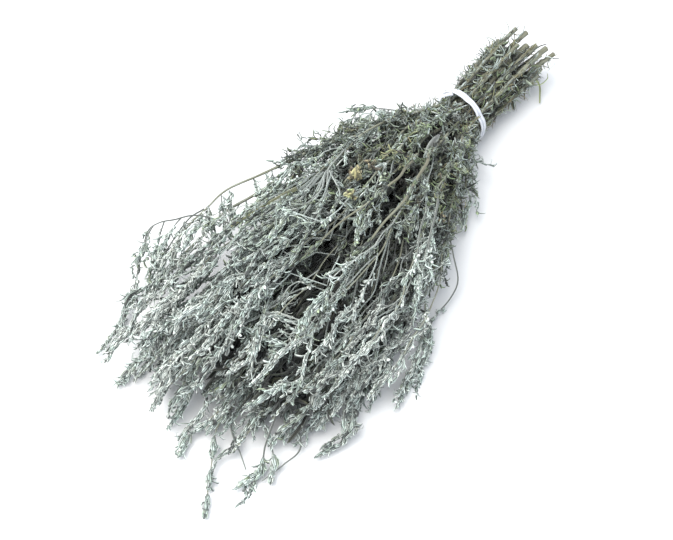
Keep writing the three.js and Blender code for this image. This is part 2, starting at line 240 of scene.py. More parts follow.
class Growth:
    """What the draw settles for one stem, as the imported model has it."""

    def __init__(self, i):
        draw = draw_from(SEED + i)
        self.i = i
        self.centre = CENTRES[i]
        self.stray = STRAY_OF.get(i)
        self.slender = bool(self.stray and self.stray.get("slender"))
        self.bare = self.stray.get("bare") if self.stray else None
        radius = np.hypot(*self.centre)
        self.depth = sum(radius < inner for inner in DEPTH_RADII)
        below = self.centre[1] < HIDDEN_BELOW and abs(self.centre[0]) < HIDDEN_BESIDE
        self.spacing = HIDDEN_SPACING if self.depth > 1 or below else 1.0
        self.sparse = self.centre[0] < SPARSE_TO
        self.cut = CUT_END - CUT_END_SPREAD * next(draw)
        side = REACH_RIGHT if self.centre[0] < 0 else REACH_LEFT
        usual = REACH_MIDDLE + (side - REACH_MIDDLE) * self.centre[0] ** 2
        usual = self.stray["reach"] if self.stray else usual
        self.reach = usual + REACH_SPREAD * (2 * next(draw) - 1)
        self.radius = STEM_RADIUS + STEM_RADIUS_SPREAD * next(draw) ** 2
        self.phase = 2 * math.pi * next(draw)
        self.first_side = 0 if next(draw) < 0.5 else math.pi
        stations = stations_of(self.cut, self.reach)
        leaf_share = SLENDER_SHARE if self.slender else 1
        span = SHOOT_START_SHARE * leaf_share * (self.reach - FLOWERING["from"])
        self.shoots = self.shoots_of(FLOWERING, FLOWERING["from"] + span, stations, draw)
        self.shoots += self.shoots_of(LEAFY, FLOWERING["from"], stations, draw)

    def shoots_of(self, kind, to, stations, draw):
        """The shared side shoots of a kind, as (start, turn, length)."""
        shoots = []
        for k in range(kind["count"]):
            share = (k + SHOOT_SCATTER * next(draw)) / kind["count"]
            wanted = kind["from"] + (to - kind["from"]) * share
            start = stations[np.abs(stations - wanted).argmin()]
            turn = k * math.pi + self.first_side + SHOOT_SWAY * (2 * next(draw) - 1)
            length = kind["length"] * (SHORTEST_SHARE + LENGTH_VARIETY * next(draw))
            shoots.append((start, turn, min(length, self.reach + SHOOT_PAST_TIP - start)))
        return shoots

    def at(self, s):
        """The stem's own place across the bunch at s, as (u, v)."""
        s = np.asarray(s, float)
        wiggle = WIGGLE_SHARE * along(LIVELINESS, s)
        u = self.centre[0] + wiggle * np.sin(s / WIGGLE_LENGTH_Y + self.phase)
        v = self.centre[1] + wiggle * np.cos(s / WIGGLE_LENGTH_Z + self.phase)
        if self.stray:
            start, peak, end = self.stray["span"]
            span = np.where(s < peak, peak - start, end - peak)
            t = np.clip(1 - np.abs(s - peak) / span, 0, 1)
            share = t * t * (3 - 2 * t)
            u = u + self.stray["out"][0] * share / along(HALF_WIDTH, s)
            v = v + self.stray["out"][1] * share / along(HALF_HEIGHT, s)
        return u, v


GROWTHS = [Growth(i) for i in range(STEM_COUNT)]


def room_beside(growth, s, turn):
    """How far a stem's shoot may stand off at s in the direction of turn, as an offset in u and v."""
    root = np.array(growth.at(s))
    out = root + [math.cos(turn), math.sin(turn)] - growth.centre
    scale = np.array([along(HALF_WIDTH, s), along(HALF_HEIGHT, s)])
    share = 1.0
    for other in GROWTHS:
        if other.i == growth.i or s > other.reach + LONGEST_PAST_TIP:
            continue
        normal = other.centre - growth.centre
        distance = np.linalg.norm(normal) / 2
        normal = normal / (2 * distance)
        inner = distance - along(CELL_MARGIN, s) * np.linalg.norm(normal / scale)
        share = min(share, inner / max(normal @ out, inner, 1e-6))
    return growth.centre + out * share - root


def unit(vectors):
    """The vectors, each at a length of 1."""
    return vectors / np.maximum(np.linalg.norm(vectors, axis=-1, keepdims=True), 1e-9)


def frames_along(path):
    """The heading, the sideways and the upward direction at each point of paths (n, points, 3)."""
    heading = unit(np.gradient(path, axis=-2))
    sideways = unit(np.cross(heading, [0.0, 0.0, 1.0]))
    return heading, sideways, np.cross(sideways, heading)


TABLE_HOLD = 0.0005  # how soon the table flattens what would lie lower


class Skin:
    """Gathers closed forms into one mesh, with a map and a finish for each face."""

    def __init__(self, depth=0):
        self.points, self.faces, self.maps, self.looks = [], [], [], []
        self.count = 0
        # the depth picks the leaf finish's darker row: painted shade for growth deep in the bunch
        self.depth = depth

    def add(self, points, faces, maps, look):
        """Add forms with these points, triangles, map corners and look."""
        self.points.append(points)
        self.faces.append(faces + self.count)
        self.maps.append(maps)
        self.looks.append(np.full(len(faces), look))
        self.count += len(points)

    def make(self, name, materials):
        """The mesh object, in metres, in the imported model's frame and on the table."""
        points = np.concatenate(self.points) * MM + [BAND_MIDDLE.x, BAND_MIDDLE.y, 0]
        height = points[:, 2]
        points[:, 2] = (height + np.sqrt(height * height + 4 * TABLE_HOLD * TABLE_HOLD)) / 2
        faces = np.concatenate(self.faces).astype(np.int32)
        mesh = bpy.data.meshes.new(name)
        mesh.vertices.add(len(points))
        mesh.vertices.foreach_set("co", points.astype(np.float32).ravel())
        mesh.loops.add(faces.size)
        mesh.loops.foreach_set("vertex_index", faces.ravel())
        mesh.polygons.add(len(faces))
        mesh.polygons.foreach_set("loop_start", np.arange(len(faces), dtype=np.int32) * 3)
        looks = np.concatenate(self.looks).astype(np.int32)
        mesh.polygons.foreach_set("material_index", looks)
        mesh.polygons.foreach_set("use_smooth", looks != CUT_LOOK)
        layer = mesh.uv_layers.new(name=MAP_NAME)
        layer.data.foreach_set("uv", np.concatenate(self.maps).astype(np.float32).ravel())
        mesh.update()
        mesh.validate()
        for material in materials:
            mesh.materials.append(material)
        piece = bpy.data.objects.new(name, mesh)
        bpy.context.scene.collection.objects.link(piece)
        return piece


def ring_faces(rings, sides):
    """Faces and (turn, step) corners of the wall between rings of points, for one form."""
    k, j = np.meshgrid(np.arange(rings - 1), np.arange(sides), indexing="ij")
    k, j = k.ravel(), j.ravel()
    a, b = k * sides + j, k * sides + (j + 1) % sides
    faces = np.concatenate([np.stack([a, b, b + sides], 1), np.stack([a, b + sides, a + sides], 1)])
    first = np.stack([np.stack([j, k], 1), np.stack([j + 1, k], 1), np.stack([j + 1, k + 1], 1)], 1)
    second = np.stack([np.stack([j, k], 1), np.stack([j + 1, k + 1], 1), np.stack([j, k + 1], 1)], 1)
    return faces, np.concatenate([first, second]).astype(float)


def repeated(faces, corners, count, size):
    """The faces and corners of count forms with size points each."""
    start = (np.arange(count) * size)[:, None, None]
    return (faces[None] + start).reshape(-1, 3), np.broadcast_to(corners, (count, *corners.shape))


def closed_form(rings, sides, started=True):
    """Faces of a form whose rings end in a tip, with a flat start if it is started."""
    faces, corners = ring_faces(rings, sides)
    j = np.arange(sides)
    last = (rings - 1) * sides
    tip = np.stack([last + j, last + (j + 1) % sides, np.full(sides, rings * sides)], 1)
    spot = np.stack([j * 1.0, j + 1, j + 0.5], 1)
    up = np.broadcast_to([rings - 1.0, rings - 1, rings], (sides, 3))
    faces = np.concatenate([faces, tip])
    corners = np.concatenate([corners, np.stack([spot, up], 2)])
    if started:
        j = np.arange(1, sides - 1)
        start = np.stack([j * 0, j + 1, j], 1)
        faces = np.concatenate([faces, start])
        corners = np.concatenate([corners, np.stack([start * 1.0, start * 0.0], 2)])
    return faces, corners


def leaf_map(corners, tone, rings, across, depth):
    """Map corners in the leaf finish: a darker row for each depth (painted shade), a strip for each tone,
    up to the tip.
    """
    strip = np.clip((tone * TONE_STRIPS).astype(int), 0, TONE_STRIPS - 1)[:, None, None]
    place = np.interp(corners[..., 0], np.arange(len(across)), across)
    place = (strip + STRIP_MARGIN + (1 - 2 * STRIP_MARGIN) * place) / TONE_STRIPS
    depth = np.minimum(np.reshape(depth, (-1, 1, 1)), DEEPEST)
    up = LEAF_ROW * (depth + ROW_MARGIN + (1 - 2 * ROW_MARGIN) * corners[..., 1] / rings)
    return np.stack([place, up], -1).reshape(-1, 3, 2)


def spikes(skin, root, ahead, up, length, width, curl, tone, outline, wave=0.0):
    """Tapering, curling three-sided forms with a keel: leaf lobes and twiglets."""
    count, rings = len(root), len(outline)
    places, widths = np.array(outline).T
    places = np.append(places, 1)
    turn = curl[:, None] * places + np.reshape(wave, (-1, 1)) * np.sin(2 * np.pi * places)
    middle_turn = (turn[:, 1:] + turn[:, :-1]) / 2
    step = length[:, None] * np.diff(places)
    forward = np.pad(np.cumsum(step * np.cos(middle_turn), 1), ((0, 0), (1, 0)))
    raised = np.pad(np.cumsum(step * np.sin(middle_turn), 1), ((0, 0), (1, 0)))
    centre = root[:, None] + ahead[:, None] * forward[..., None] + up[:, None] * raised[..., None]
    rise = up[:, None] * np.cos(turn)[..., None] - ahead[:, None] * np.sin(turn)[..., None]
    half = (width[:, None] / 2 * widths)[..., None]
    sideways = np.cross(ahead, up)[:, None] * half
    middle = centre[:, :-1]
    ring = np.stack([middle - sideways, middle + sideways, middle - rise[:, :-1] * half * KEEL], 2)
    points = np.concatenate([ring.reshape(count, -1, 3), centre[:, -1:]], 1)
    faces, corners = repeated(*closed_form(rings, 3), count, rings * 3 + 1)
    maps = leaf_map(corners, tone, rings, LOBE_ACROSS, skin.depth)
    skin.add(points.reshape(-1, 3), faces, maps, LEAF_LOOK)
    return centre, rise


def ovoids(skin, root, ahead, length, width, tone):
    """Closed egg shapes: flower buds."""
    count, rings, sides = len(root), len(BUD_OUTLINE), len(BUD_ACROSS) - 1
    across = unit(np.cross(ahead, OFF_BUDS))
    other = np.cross(across, ahead)
    turn = np.arange(sides) * 2 * np.pi / sides
    rim = -np.cos(turn)[:, None] * across[:, None] + np.sin(turn)[:, None] * other[:, None]
    ring = []
    for share, swell in BUD_OUTLINE:
        middle = root + ahead * (length * share)[:, None]
        ring.append(middle[:, None] + rim * (width * swell / 2)[:, None, None])
    points = np.stack(ring, 1).reshape(count, -1, 3)
    points = np.concatenate([points, (root + ahead * length[:, None])[:, None]], 1)
    faces, corners = repeated(*closed_form(rings, sides), count, rings * sides + 1)
    maps = leaf_map(corners, tone, rings, BUD_ACROSS, skin.depth)
    skin.add(points.reshape(-1, 3), faces, maps, LEAF_LOOK)


# Stalks: thin ones have a leaf's finish, and thick ones have bark and a cut face
STALK_SHADED = 0.35  # thin stalks leave out this share of the painted shade from root to tip
LOOSE_STALK_DEPTH = 2
BARK_SIDES, BARK_RIBS = 12, 0.09
TIP_SHARE = 0.5  # of the last step, which a stalk's closing point lies past its end
PITH_SHARE = 0.55
CUT_DOME = 0.12


def round_stalks(path, radius, sides, ribs=0.0):
    """The rings of points round paths (n, points, 3), with lengthwise ribs."""
    _, sideways, upward = frames_along(path)
    turn = np.arange(sides) * 2 * np.pi / sides
    rim = -np.cos(turn)[:, None] * sideways[..., None, :] + np.sin(turn)[:, None] * upward[..., None, :]
    swell = 1 + ribs * np.where(np.arange(sides) % 2 == 0, 1, -1)
    return path[..., None, :] + rim * (radius[..., None] * swell)[..., None]


def point_past(path, share=TIP_SHARE):
    """The point past the end of a path, by a share of its last step."""
    return path[-1:] + (path[-1:] - path[-2:-1]) * share


def thin_stalk(skin, path, radius, tone):
    """A closed thin stalk along a path (points, 3), in the leaf finish."""
    rings, sides = len(path), len(STALK_ACROSS) - 1
    ring = round_stalks(path[None], radius[None], sides)[0].reshape(-1, 3)
    faces, corners = closed_form(rings, sides)
    corners[:, :, 1] = rings * STALK_SHADED + corners[:, :, 1] * (1 - STALK_SHADED)
    maps = leaf_map(corners[None], np.array([tone]), rings, STALK_ACROSS, skin.depth)
    skin.add(np.concatenate([ring, point_past(path)]), faces, maps, LEAF_LOOK)


def loose_stalk(skin, path, radius):
    """A thin stalk of loose growth, greyer than those in the bunch."""
    depth = skin.depth
    skin.depth = LOOSE_STALK_DEPTH
    thin_stalk(skin, path, radius, TONE_STRAW)
    skin.depth = depth


def barked_stalk(skin, path, radius, pale):
    """A thick ribbed stalk, as pale as given at its cut face and at its closed tip."""
    rings = len(path)
    ring = round_stalks(path[None], radius[None], BARK_SIDES, BARK_RIBS)[0].reshape(-1, 3)
    faces, corners = closed_form(rings, BARK_SIDES, started=False)
    across = corners[..., 0] / BARK_SIDES
    share = pale[0] + (pale[1] - pale[0]) * corners[..., 1] / rings
    up = BARK_MAP[0] + (BARK_MAP[1] - BARK_MAP[0]) * share
    points = np.concatenate([ring, point_past(path)])
    skin.add(points, faces, np.stack([across, up], -1), BARK_LOOK)
    cut_face(skin, ring[:BARK_SIDES], path[0], unit(path[0] - path[1]), radius[0])


def cut_face(skin, rim, middle, outward, radius):
    """A stalk's cut end: a rough disc of pith inside a woody ring."""
    sides = len(rim)
    inner = middle + (rim - middle) * PITH_SHARE + outward * radius * CUT_DOME
    faces, corners = closed_form(2, sides, started=False)
    share = np.array([1.0, PITH_SHARE, 0.0])[corners[..., 1].astype(int)]
    out = CUT_MARGIN + (1 - 2 * CUT_MARGIN) * share
    up = CUT_MAP[0] + (CUT_MAP[1] - CUT_MAP[0]) * corners[..., 0] / sides
    points = np.concatenate([rim, inner, middle[None]])
    skin.add(points, faces[:, ::-1], np.stack([out, up], -1)[:, ::-1], CUT_LOOK)


# Flowering twiglets with their bracts and buds, in millimetres and radians or as shares of the usual
# size. A mixed draw has the share of usual ones, their range and the range of the others.
TWIGLET_WIDTH = 0.6
TWIGLET_LENGTHS = (0.7, 1.3)
TWIG_WAVE = 0.6
TWIG_PALEST, TWIG_PALING = TONE_STRAW - 0.05, (0.3, 1)
SPRIG_LEAN = (0.15, 0.6)
SPRIG_CLOSING = (0.6, 2.6)
BRACT_PLACES = (0.4, 1.1, 1.7, 2.2, 2.7, 3.2, 3.6, 4.0)
BRACT_LENGTHS = (0.6, 1.3)
BRACT_WIDTHS = (0.7, (0.6, 0.85), (0.9, 1.3))
BRACT_LEAN = (0.4, 1.15)
BRACT_CURLS = (0.86, (-3.9, -1.8), (1, 3.4))
BRACT_TURN, BRACT_WAVE = 1.2, 0.45
BRACT_EVENNESS = 0.6  # bracts differ less in size than their twiglets
BUD_SHARE = 0.55
BUD_SCATTER, BUD_DROOP = 0.5, 0.3
BUD_LENGTHS, BUD_WIDTH = (0.7, 1.25), 0.8
TONE_SPREAD = 0.09
HIGHLIGHT, HIGHLIGHT_SHARE = 0.18, 0.22
SHADED_SHARE = 0.38  # of the bracts and lobes are a step darker than their twiglet


def any_across(axis):
    """Some direction square to each axis."""
    return unit(np.cross(axis, OFF_AXES))


def spread_round(axis, out, turn, lean):
    """Directions that lean off each axis, turned round it from out, and their outward sides."""
    beside = np.cross(axis, out)
    out = out * np.cos(turn)[:, None] + beside * np.sin(turn)[:, None]
    ahead = unit(axis * np.cos(lean)[:, None] + out * np.sin(lean)[:, None])
    outward = unit(out * np.cos(lean)[:, None] - axis * np.sin(lean)[:, None])
    return ahead, outward


def lobes_on(skin, spine, places, turn, lean, length, width, curl, tone, wave):
    """Narrow curled lobes at places along each spine, turned from its outer side."""
    centre, outward = spine
    low = np.minimum(np.asarray(places).astype(int), centre.shape[1] - 2)
    part = (np.asarray(places) - low)[:, None]
    step = centre[:, low + 1] - centre[:, low]
    root = (centre[:, low] + step * part).reshape(-1, 3)
    axis = unit(step.reshape(-1, 3))
    out = outward[:, low].reshape(-1, 3)
    out = unit(out - axis * (out * axis).sum(-1, keepdims=True))
    ahead, up = spread_round(axis, out, turn, lean)
    spikes(skin, root, ahead, up, length, width, curl, tone, LOBE_OUTLINE, wave)


def varied(rng, tone):
    """Tones spread about the given ones, a few of them clearly paler."""
    paler = HIGHLIGHT * (rng.random(np.shape(tone)) < HIGHLIGHT_SHARE)
    return tone + rng.normal(0, TONE_SPREAD, np.shape(tone)) + paler


def mostly(rng, share, usual, other, count):
    """Draws from the usual range for a share of the count, and from the other for the rest."""
    pick = rng.random(count) < share
    return np.where(pick, rng.uniform(*usual, count), rng.uniform(*other, count))


def hanging(axis):
    """The direction square to each axis that points down most."""
    return unit(np.cross(np.cross(axis, DOWN), axis))


def sprigs(skin, rng, sites, axis, turn, size, tone, sizes):
    """Flowering twiglets that run on beside their shoot, with curled bracts and nodding buds."""
    count = len(sites)
    lean = rng.uniform(*SPRIG_LEAN, count)
    ahead, up = spread_round(axis, hanging(axis), turn, lean)
    length = sizes.twiglet_length / MM * size * rng.uniform(*TWIGLET_LENGTHS, count)
    width = np.full(count, TWIGLET_WIDTH)
    curl = -lean * rng.uniform(*SPRIG_CLOSING, count)
    pale = tone + (TWIG_PALEST - tone) * rng.uniform(*TWIG_PALING, count)
    wave = rng.normal(0, TWIG_WAVE, count)
    spine = spikes(skin, sites, ahead, up, length, width, curl, pale, TWIG_OUTLINE, wave)
    each = len(BRACT_PLACES)
    many = count * each
    size = np.repeat(size, each) ** BRACT_EVENNESS
    length = sizes.bract_length / MM * size * rng.uniform(*BRACT_LENGTHS, many)
    width = sizes.bract_width / MM * mostly(rng, *BRACT_WIDTHS, many)
    lean = rng.uniform(*BRACT_LEAN, many)
    curl = mostly(rng, *BRACT_CURLS, many) * lean
    shade = varied(rng, np.repeat(tone, each))
    turn = rng.normal(0, BRACT_TURN, many)
    wave = rng.normal(0, BRACT_WAVE, many)
    depth = skin.depth
    skin.depth = depth + (rng.random(many) < SHADED_SHARE)
    lobes_on(skin, spine, BRACT_PLACES, turn, lean, length, width, curl, shade, wave)
    skin.depth = depth
    centre = spine[0]
    host = np.nonzero(rng.random((count, len(TWIG_OUTLINE))) < BUD_SHARE)
    root = centre[host[0], host[1] + 1]
    heading = unit(centre[host[0], -1] - centre[host[0], 0])
    aside = heading + rng.normal(0, BUD_SCATTER, (len(root), 3)) - [0, 0, BUD_DROOP]
    length = sizes.bud_length / MM * rng.uniform(*BUD_LENGTHS, len(root))
    shade = varied(rng, tone[host[0]])
    ovoids(skin, root, unit(aside), length, length * BUD_WIDTH, shade)


def run_of(path):
    """The distance of each point of a path from its start."""
    return np.concatenate([[0], np.cumsum(np.linalg.norm(np.diff(path, axis=0), axis=1))])


def sites_on(path, places):
    """The points at these distances along a path, and the headings there."""
    run = run_of(path)
    sites, behind, before = (
        np.stack([np.interp(places + off, run, path[:, k]) for k in range(3)], 1) for off in (0, -1, 1)
    )
    return sites, unit(before - behind)


# Ears of bracts that close round a shoot
EAR_STEP, EAR_SCATTER = 1.6, 0.7
EAR_LEAN = (0.35, 1.0)
EAR_ENDS = (0.04, 0.96)  # shares of an ear's length past which it gets no thinner
EAR_INSIDE = 0.35  # of an ear's bracts are inside it, and darkened with painted shade
INSIDE_STAND, INSIDE_WIDTH, INSIDE_DEPTH = 0.25, 1.3, 2
EAR_STANDS = (0.5, 1.1)
EAR_LENGTHS, EAR_TAPER = (0.55, 1.1), 0.45
EAR_WIDTHS = (0.65, 1.15)
EAR_CURLS = (0.94, (-2.9, -1.6), (0.3, 1.6))
EAR_LUMPS, LUMP_TURN = 0.28, 1.5  # an ear is thicker every few millimetres


def ear(skin, rng, path, part, sizes, tone, fullness=3, swell=1.5):
    """Overlapping bracts that close round a part of a path, given by its two distances."""
    places = np.repeat(np.arange(part[0], part[1], EAR_STEP), fullness)
    if not len(places):
        return
    places = places + rng.uniform(-EAR_SCATTER, EAR_SCATTER, len(places))
    sites, axis = sites_on(path, places)
    count = len(places)
    turn = np.arange(count) * GOLDEN_ANGLE + rng.uniform(*ANY_PHASE)
    lean = rng.uniform(*EAR_LEAN, count)
    ahead, up = spread_round(axis, hanging(axis), turn, lean)
    share = np.clip((places - part[0]) / (part[1] - part[0]), *EAR_ENDS)
    inside = rng.random(count) < EAR_INSIDE
    stand = np.where(inside, INSIDE_STAND, rng.uniform(*EAR_STANDS, count))
    stand = swell * np.sqrt(np.sin(np.pi * share)) * stand
    lumps = 1 + EAR_LUMPS * np.sin(places * LUMP_TURN + rng.uniform(*ANY_PHASE))
    length = sizes.bract_length / MM * rng.uniform(*EAR_LENGTHS, count)
    length = length * (1 - EAR_TAPER * share**3) * lumps
    width = np.where(inside, INSIDE_WIDTH, rng.uniform(*EAR_WIDTHS, count))
    width = sizes.bract_width / MM * width
    curl = mostly(rng, *EAR_CURLS, count) * lean
    shade = varied(rng, np.full(count, tone))
    wave = rng.normal(0, BRACT_WAVE, count)
    root = sites + up * stand[:, None]
    depth = skin.depth
    # painted shade on the bracts inside the ear
    skin.depth = depth + INSIDE_DEPTH * inside
    spikes(skin, root, ahead, up, length, width, curl, shade, LOBE_OUTLINE, wave)
    skin.depth = depth


# How twiglets follow each other along a shoot, up to the ear at its tip
SPRIG_SCATTER, SPRIG_END = 0.3, 0.6  # of the step between them
SPRIG_SIZE, SPRIG_SWELL, SWELL_EARLY = 0.62, 0.5, 0.8  # small at both ends, large before the middle
CLUMPING, CLUMP_LENGTH = 0.25, 3.0
SHOOT_SIZES = (0.85, 1.15)
SPRIG_TURN = (0.3, 2.3)  # from straight down to either side, so that the stalk shows on top
SPRIG_TONES = 0.05
EAR_SHARE, EAR_STAND = 0.5, 1.8  # of a flowering shoot's leafy part, and how thick its ear is
EAR_BRACTS, SPARSE_BRACTS, SPARSE_FROM = 3, 1, 1.5  # side by side, and from what spacing on


def sprigs_along(skin, rng, path, sizes, tone, bare, spacing=1.0):
    """Sprigs along one shoot's path (points, 3) past its bare part, in clumps, with an ear at its tip."""
    total = run_of(path)[-1]
    step = sizes.sprig_step / MM * spacing
    places = np.arange(total * bare, total - step * SPRIG_END, step)
    if not len(places):
        return
    start = total * (1 - (1 - bare) * EAR_SHARE)
    places = places[(places < start) | (np.arange(len(places)) % 2 == 0)]
    places = places + rng.uniform(-SPRIG_SCATTER, SPRIG_SCATTER, len(places)) * step
    sites, axis = sites_on(path, places)
    share = np.clip((places - total * bare) / (total * (1 - bare)), 0, 1)
    swell = SPRIG_SIZE + SPRIG_SWELL * np.sin(np.pi * share**SWELL_EARLY)
    clump = 1 + CLUMPING * np.sin(places / CLUMP_LENGTH + rng.uniform(*ANY_PHASE))
    size = swell * clump * rng.uniform(*SHOOT_SIZES)
    side = np.where(np.arange(len(places)) % 2 == 0, 1, -1)
    turn = side * rng.uniform(*SPRIG_TURN, len(places))
    shade = tone + rng.normal(0, SPRIG_TONES, len(places))
    sprigs(skin, rng, sites, axis, turn, size, shade, sizes)
    fullness = EAR_BRACTS if spacing < SPARSE_FROM else SPARSE_BRACTS
    ear(skin, rng, path, (start, total), sizes, tone, fullness, EAR_STAND)


# Where shoots keep apart, so that the dark inside and the table show between them
PARTING = {"from": 118, "to": 262, "u": 0.12, "drift": -0.5, "half_width": 0.22, "push": 0.17}
CLEARING = {
    "s": (95, 125, 155, 190, 235, 270),
    "left": (0.95, 0.6, 0.56, 0.6, 0.7, 0.88),
    "right": (-0.95, -0.7, -0.6, -0.58, -0.62, -0.8),
    "left_hold": 0.8,
    "right_hold": 0.75,
}


def parted(s, u):
    """How far shoots at s, u keep clear of the parting, as an offset in u."""
    middle = PARTING["u"] + PARTING["drift"] * (s - PARTING["from"]) / (PARTING["to"] - PARTING["from"])
    along_it = np.clip((s - PARTING["from"]) / (PARTING["to"] - PARTING["from"]), 0, 1)
    off = (u - middle) / PARTING["half_width"]
    return PARTING["push"] * np.sin(np.pi * along_it) * np.sign(off) * np.exp(-off * off)


def cleared(s, u):
    """How far shoots at s, u keep back from the open gaps on both sides, as an offset in u."""
    left = np.maximum(u - np.interp(s, CLEARING["s"], CLEARING["left"]), 0)
    right = np.maximum(np.interp(s, CLEARING["s"], CLEARING["right"]) - u, 0)
    return CLEARING["right_hold"] * right - CLEARING["left_hold"] * left


# Flowering side shoots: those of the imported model, and extra ones between them
SHOOT_POINTS = 20
SHOOT_LEAVES_SOON = 2.6
SHOOT_WAVES = ((3.2, 90), (1.9, 28))  # how far sideways, and how long
WAVE_REACHES, WAVE_LENGTHS = (0.5, 1), (0.7, 1.3)
SHOOT_DROOP = (0, 5)
SHOOT_RADIUS, SHOOT_TIP_RADIUS = 0.42, 0.28
SHARED_BARE, EXTRA_BARE = (0.12, 0.3), (0.3, 0.55)  # shares of their length without twiglets
BARE_BEFORE = 30  # shoots start this much earlier than they show
EXTRA_SHARE, EXTRA_SCATTER, EXTRA_SWAY = 0.6, 0.8, 0.3
EXTRA_LENGTHS, EXTRA_REACHES = (0.75, 1.2), (0.6, 1.3)
SPREAD_OUT = (170, 230)  # where the stems lie spread out, so that inner ones show too and lose their painted shade
DULL_SHARE = 0.3  # of the leaves and shoots are a step darker
STALK_TONES = (-0.08, 0.02)  # from straw
PLUME_TURN = (100, 170, 230)
PLUME_TONES = (TONE_GREY_GREEN, TONE_SILVER, TONE_SILVER + 0.16)
SHOOT_TONES, TONE_PLACE = (-0.01, 0.09), 0.6  # about the plume's tone at this share of its length
RIGHT_PAINTED_LIGHT = 0.1  # painted light: the right side is drawn paler to lift the shade that falls there


def shoot_path(growth, start, length, away, rng):
    """The path of a side shoot that leaves the stem at once and runs on beside it in waves."""
    t = np.linspace(0, 1, SHOOT_POINTS)
    s = start + length * t
    u, v = growth.at(s)
    out = 1 - (1 - t) ** SHOOT_LEAVES_SOON
    beside = u + away[0] * out
    beside = beside + (parted(s, beside) + cleared(s, beside)) * out
    path = point_at(s, beside, v + away[1] * out)
    for reach, wave in SHOOT_WAVES:
        sway = rng.uniform(*WAVE_REACHES, (2, 1)) * reach
        turn = length / wave * 2 * np.pi * rng.uniform(*WAVE_LENGTHS, (2, 1))
        phase = rng.uniform(*ANY_PHASE, (2, 1))
        path[:, 1:] += (sway * np.sin(t * turn + phase) * np.minimum(t * 2, 1)).T
    path[:, 2] -= rng.uniform(*SHOOT_DROOP) * t**3
    return path


def plume_tone(s):
    """The usual tone of flowering growth at s: grey-green by the leaves, silver further out."""
    return np.interp(s, PLUME_TURN, PLUME_TONES)


def shared_shoots(growth, rng):
    """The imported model's side shoots that show, as (start, length, offset, bare share)."""
    shoots = []
    for start, turn, length in growth.shoots:
        if growth.bare and growth.bare[0] - BARE_BEFORE < start < growth.bare[1] - BARE_BEFORE:
            continue
        away = room_beside(growth, start + length, turn)
        away = away * min(1, OPEN_REACH / max(np.linalg.norm(away), 1e-9)) * SHOOT_REACH
        shoots.append((start, length, away, rng.uniform(*SHARED_BARE)))
    return shoots


def extra_shoots(growth, rng, sizes):
    """More side shoots between the shared ones, as (start, length, offset, bare share)."""
    if growth.bare or growth.sparse:
        return []
    shoots = []
    first = sizes.flowering_from / MM
    span = (SLENDER_SHARE if growth.slender else EXTRA_SHARE) * (growth.reach - first)
    count = sizes.side_shoots if growth.spacing == 1 else sizes.side_shoots // 2
    for k in range(count):
        start = first + span * (k + rng.uniform(0, EXTRA_SCATTER)) / count
        length = rng.uniform(*EXTRA_LENGTHS) * sizes.shoot_length / MM
        length = min(length, growth.reach + SHOOT_PAST_TIP - start)
        turn = growth.first_side + k * GOLDEN_ANGLE + rng.uniform(-EXTRA_SWAY, EXTRA_SWAY)
        off = rng.uniform(*EXTRA_REACHES) * sizes.shoot_reach / MM
        end = start + length
        scale = np.array([along(HALF_WIDTH, end), along(HALF_HEIGHT, end)])
        away = off * np.array([math.cos(turn), math.sin(turn)]) / scale
        shoots.append((start, length, away, rng.uniform(*EXTRA_BARE)))
    return shoots


def side_shoots(skin, growth, rng, sizes):
    """The stem's flowering side shoots."""
    spacing = SPARSE_SPACING if growth.sparse else growth.spacing
    for start, length, away, bare in shared_shoots(growth, rng) + extra_shoots(growth, rng, sizes):
        path = shoot_path(growth, start, length, away, rng)
        radius = np.linspace(SHOOT_RADIUS, SHOOT_TIP_RADIUS, len(path))
        inward = away @ growth.centre < 0
        spread = np.interp(start + length, SPREAD_OUT, (1, 0))
        # painted shade for shoots deep in the bunch or turned inward, less where stems spread out, plus a
        # random dull step
        skin.depth = round((growth.depth + int(inward)) * spread) + int(rng.random() < DULL_SHARE)
        thin_stalk(skin, path, radius, TONE_STRAW + rng.uniform(*STALK_TONES))
        tone = plume_tone(start + length * TONE_PLACE) + rng.normal(*SHOOT_TONES)
        # painted light: shoots on the right side are drawn paler, lifting the shade that falls there
        tone = tone - DEPTH_TONE * growth.depth + (RIGHT_PAINTED_LIGHT if growth.sparse else 0)
        sprigs_along(skin, rng, path, sizes, tone, bare, spacing)


# Leaves round each stem: greener near the band, silver further out and on the left side
BAND_EDGE, LEAVES_PAST = 4, 36
LEAF_SCATTER = 1.5
LEAF_LEAN, LEAF_CURL = (0.3, 1.15), (-1.8, 0.8)
LEAF_SIZES = (0.65, 1.2)
OPENING = (30, 0.35)  # leaves reach full size this far from the band, and start at this share
CLOSING = (1.3, 220, 0.6)  # and get smaller again further out, down to the last share
RACHIS_WIDTH = 0.9
LEAF_PLACES = (0.5, 0.9, 1.2, 1.5, 1.8, 2.1, 2.4, 2.7, 3.0, 3.3, 3.6, 3.8, 4.0)
LOBE_LEAN = (0.3, 1.3)
LOBE_LENGTHS, LOBE_WIDTHS = (0.6, 1.35), (0.75, 1.25)
LOBE_CURLS = (0.6, (-3.6, -1), (0.8, 3.6))
LOBE_WAVE, LOBE_EVENNESS = 0.8, 0.5
EDGE_FROM, EDGE_SPACING = 0.45, 0.5  # the leaves are closer together on the left side
FRINGE_FROM, FRINGE_RISE = 0.3, 3
EDGE_SILVER, EDGE_GREY = 0.17, 0.8
DULLER = 0.12
GREENEST, GREEN_REACH, GREEN_MOST = 55, 75, 1.1
LEAF_TONE, LEAF_TONES = TONE_SILVER - 0.06, 0.07
NECK_SILVER, NECK_LENGTH = 0.14, 50  # the leaves are paler right by the band
GREEN_LEAVES, GREEN_TONES = 0.3, 0.05
OLIVE_LEAVES, OLIVE_TONES = (0.4, 0.12), 0.03
PALE_LEAVES, PALER = (0.6, 0.84), 0.2
DEAD_LEAF_SHARE, DEAD_TONES = 0.04, (0.08, 0.26)


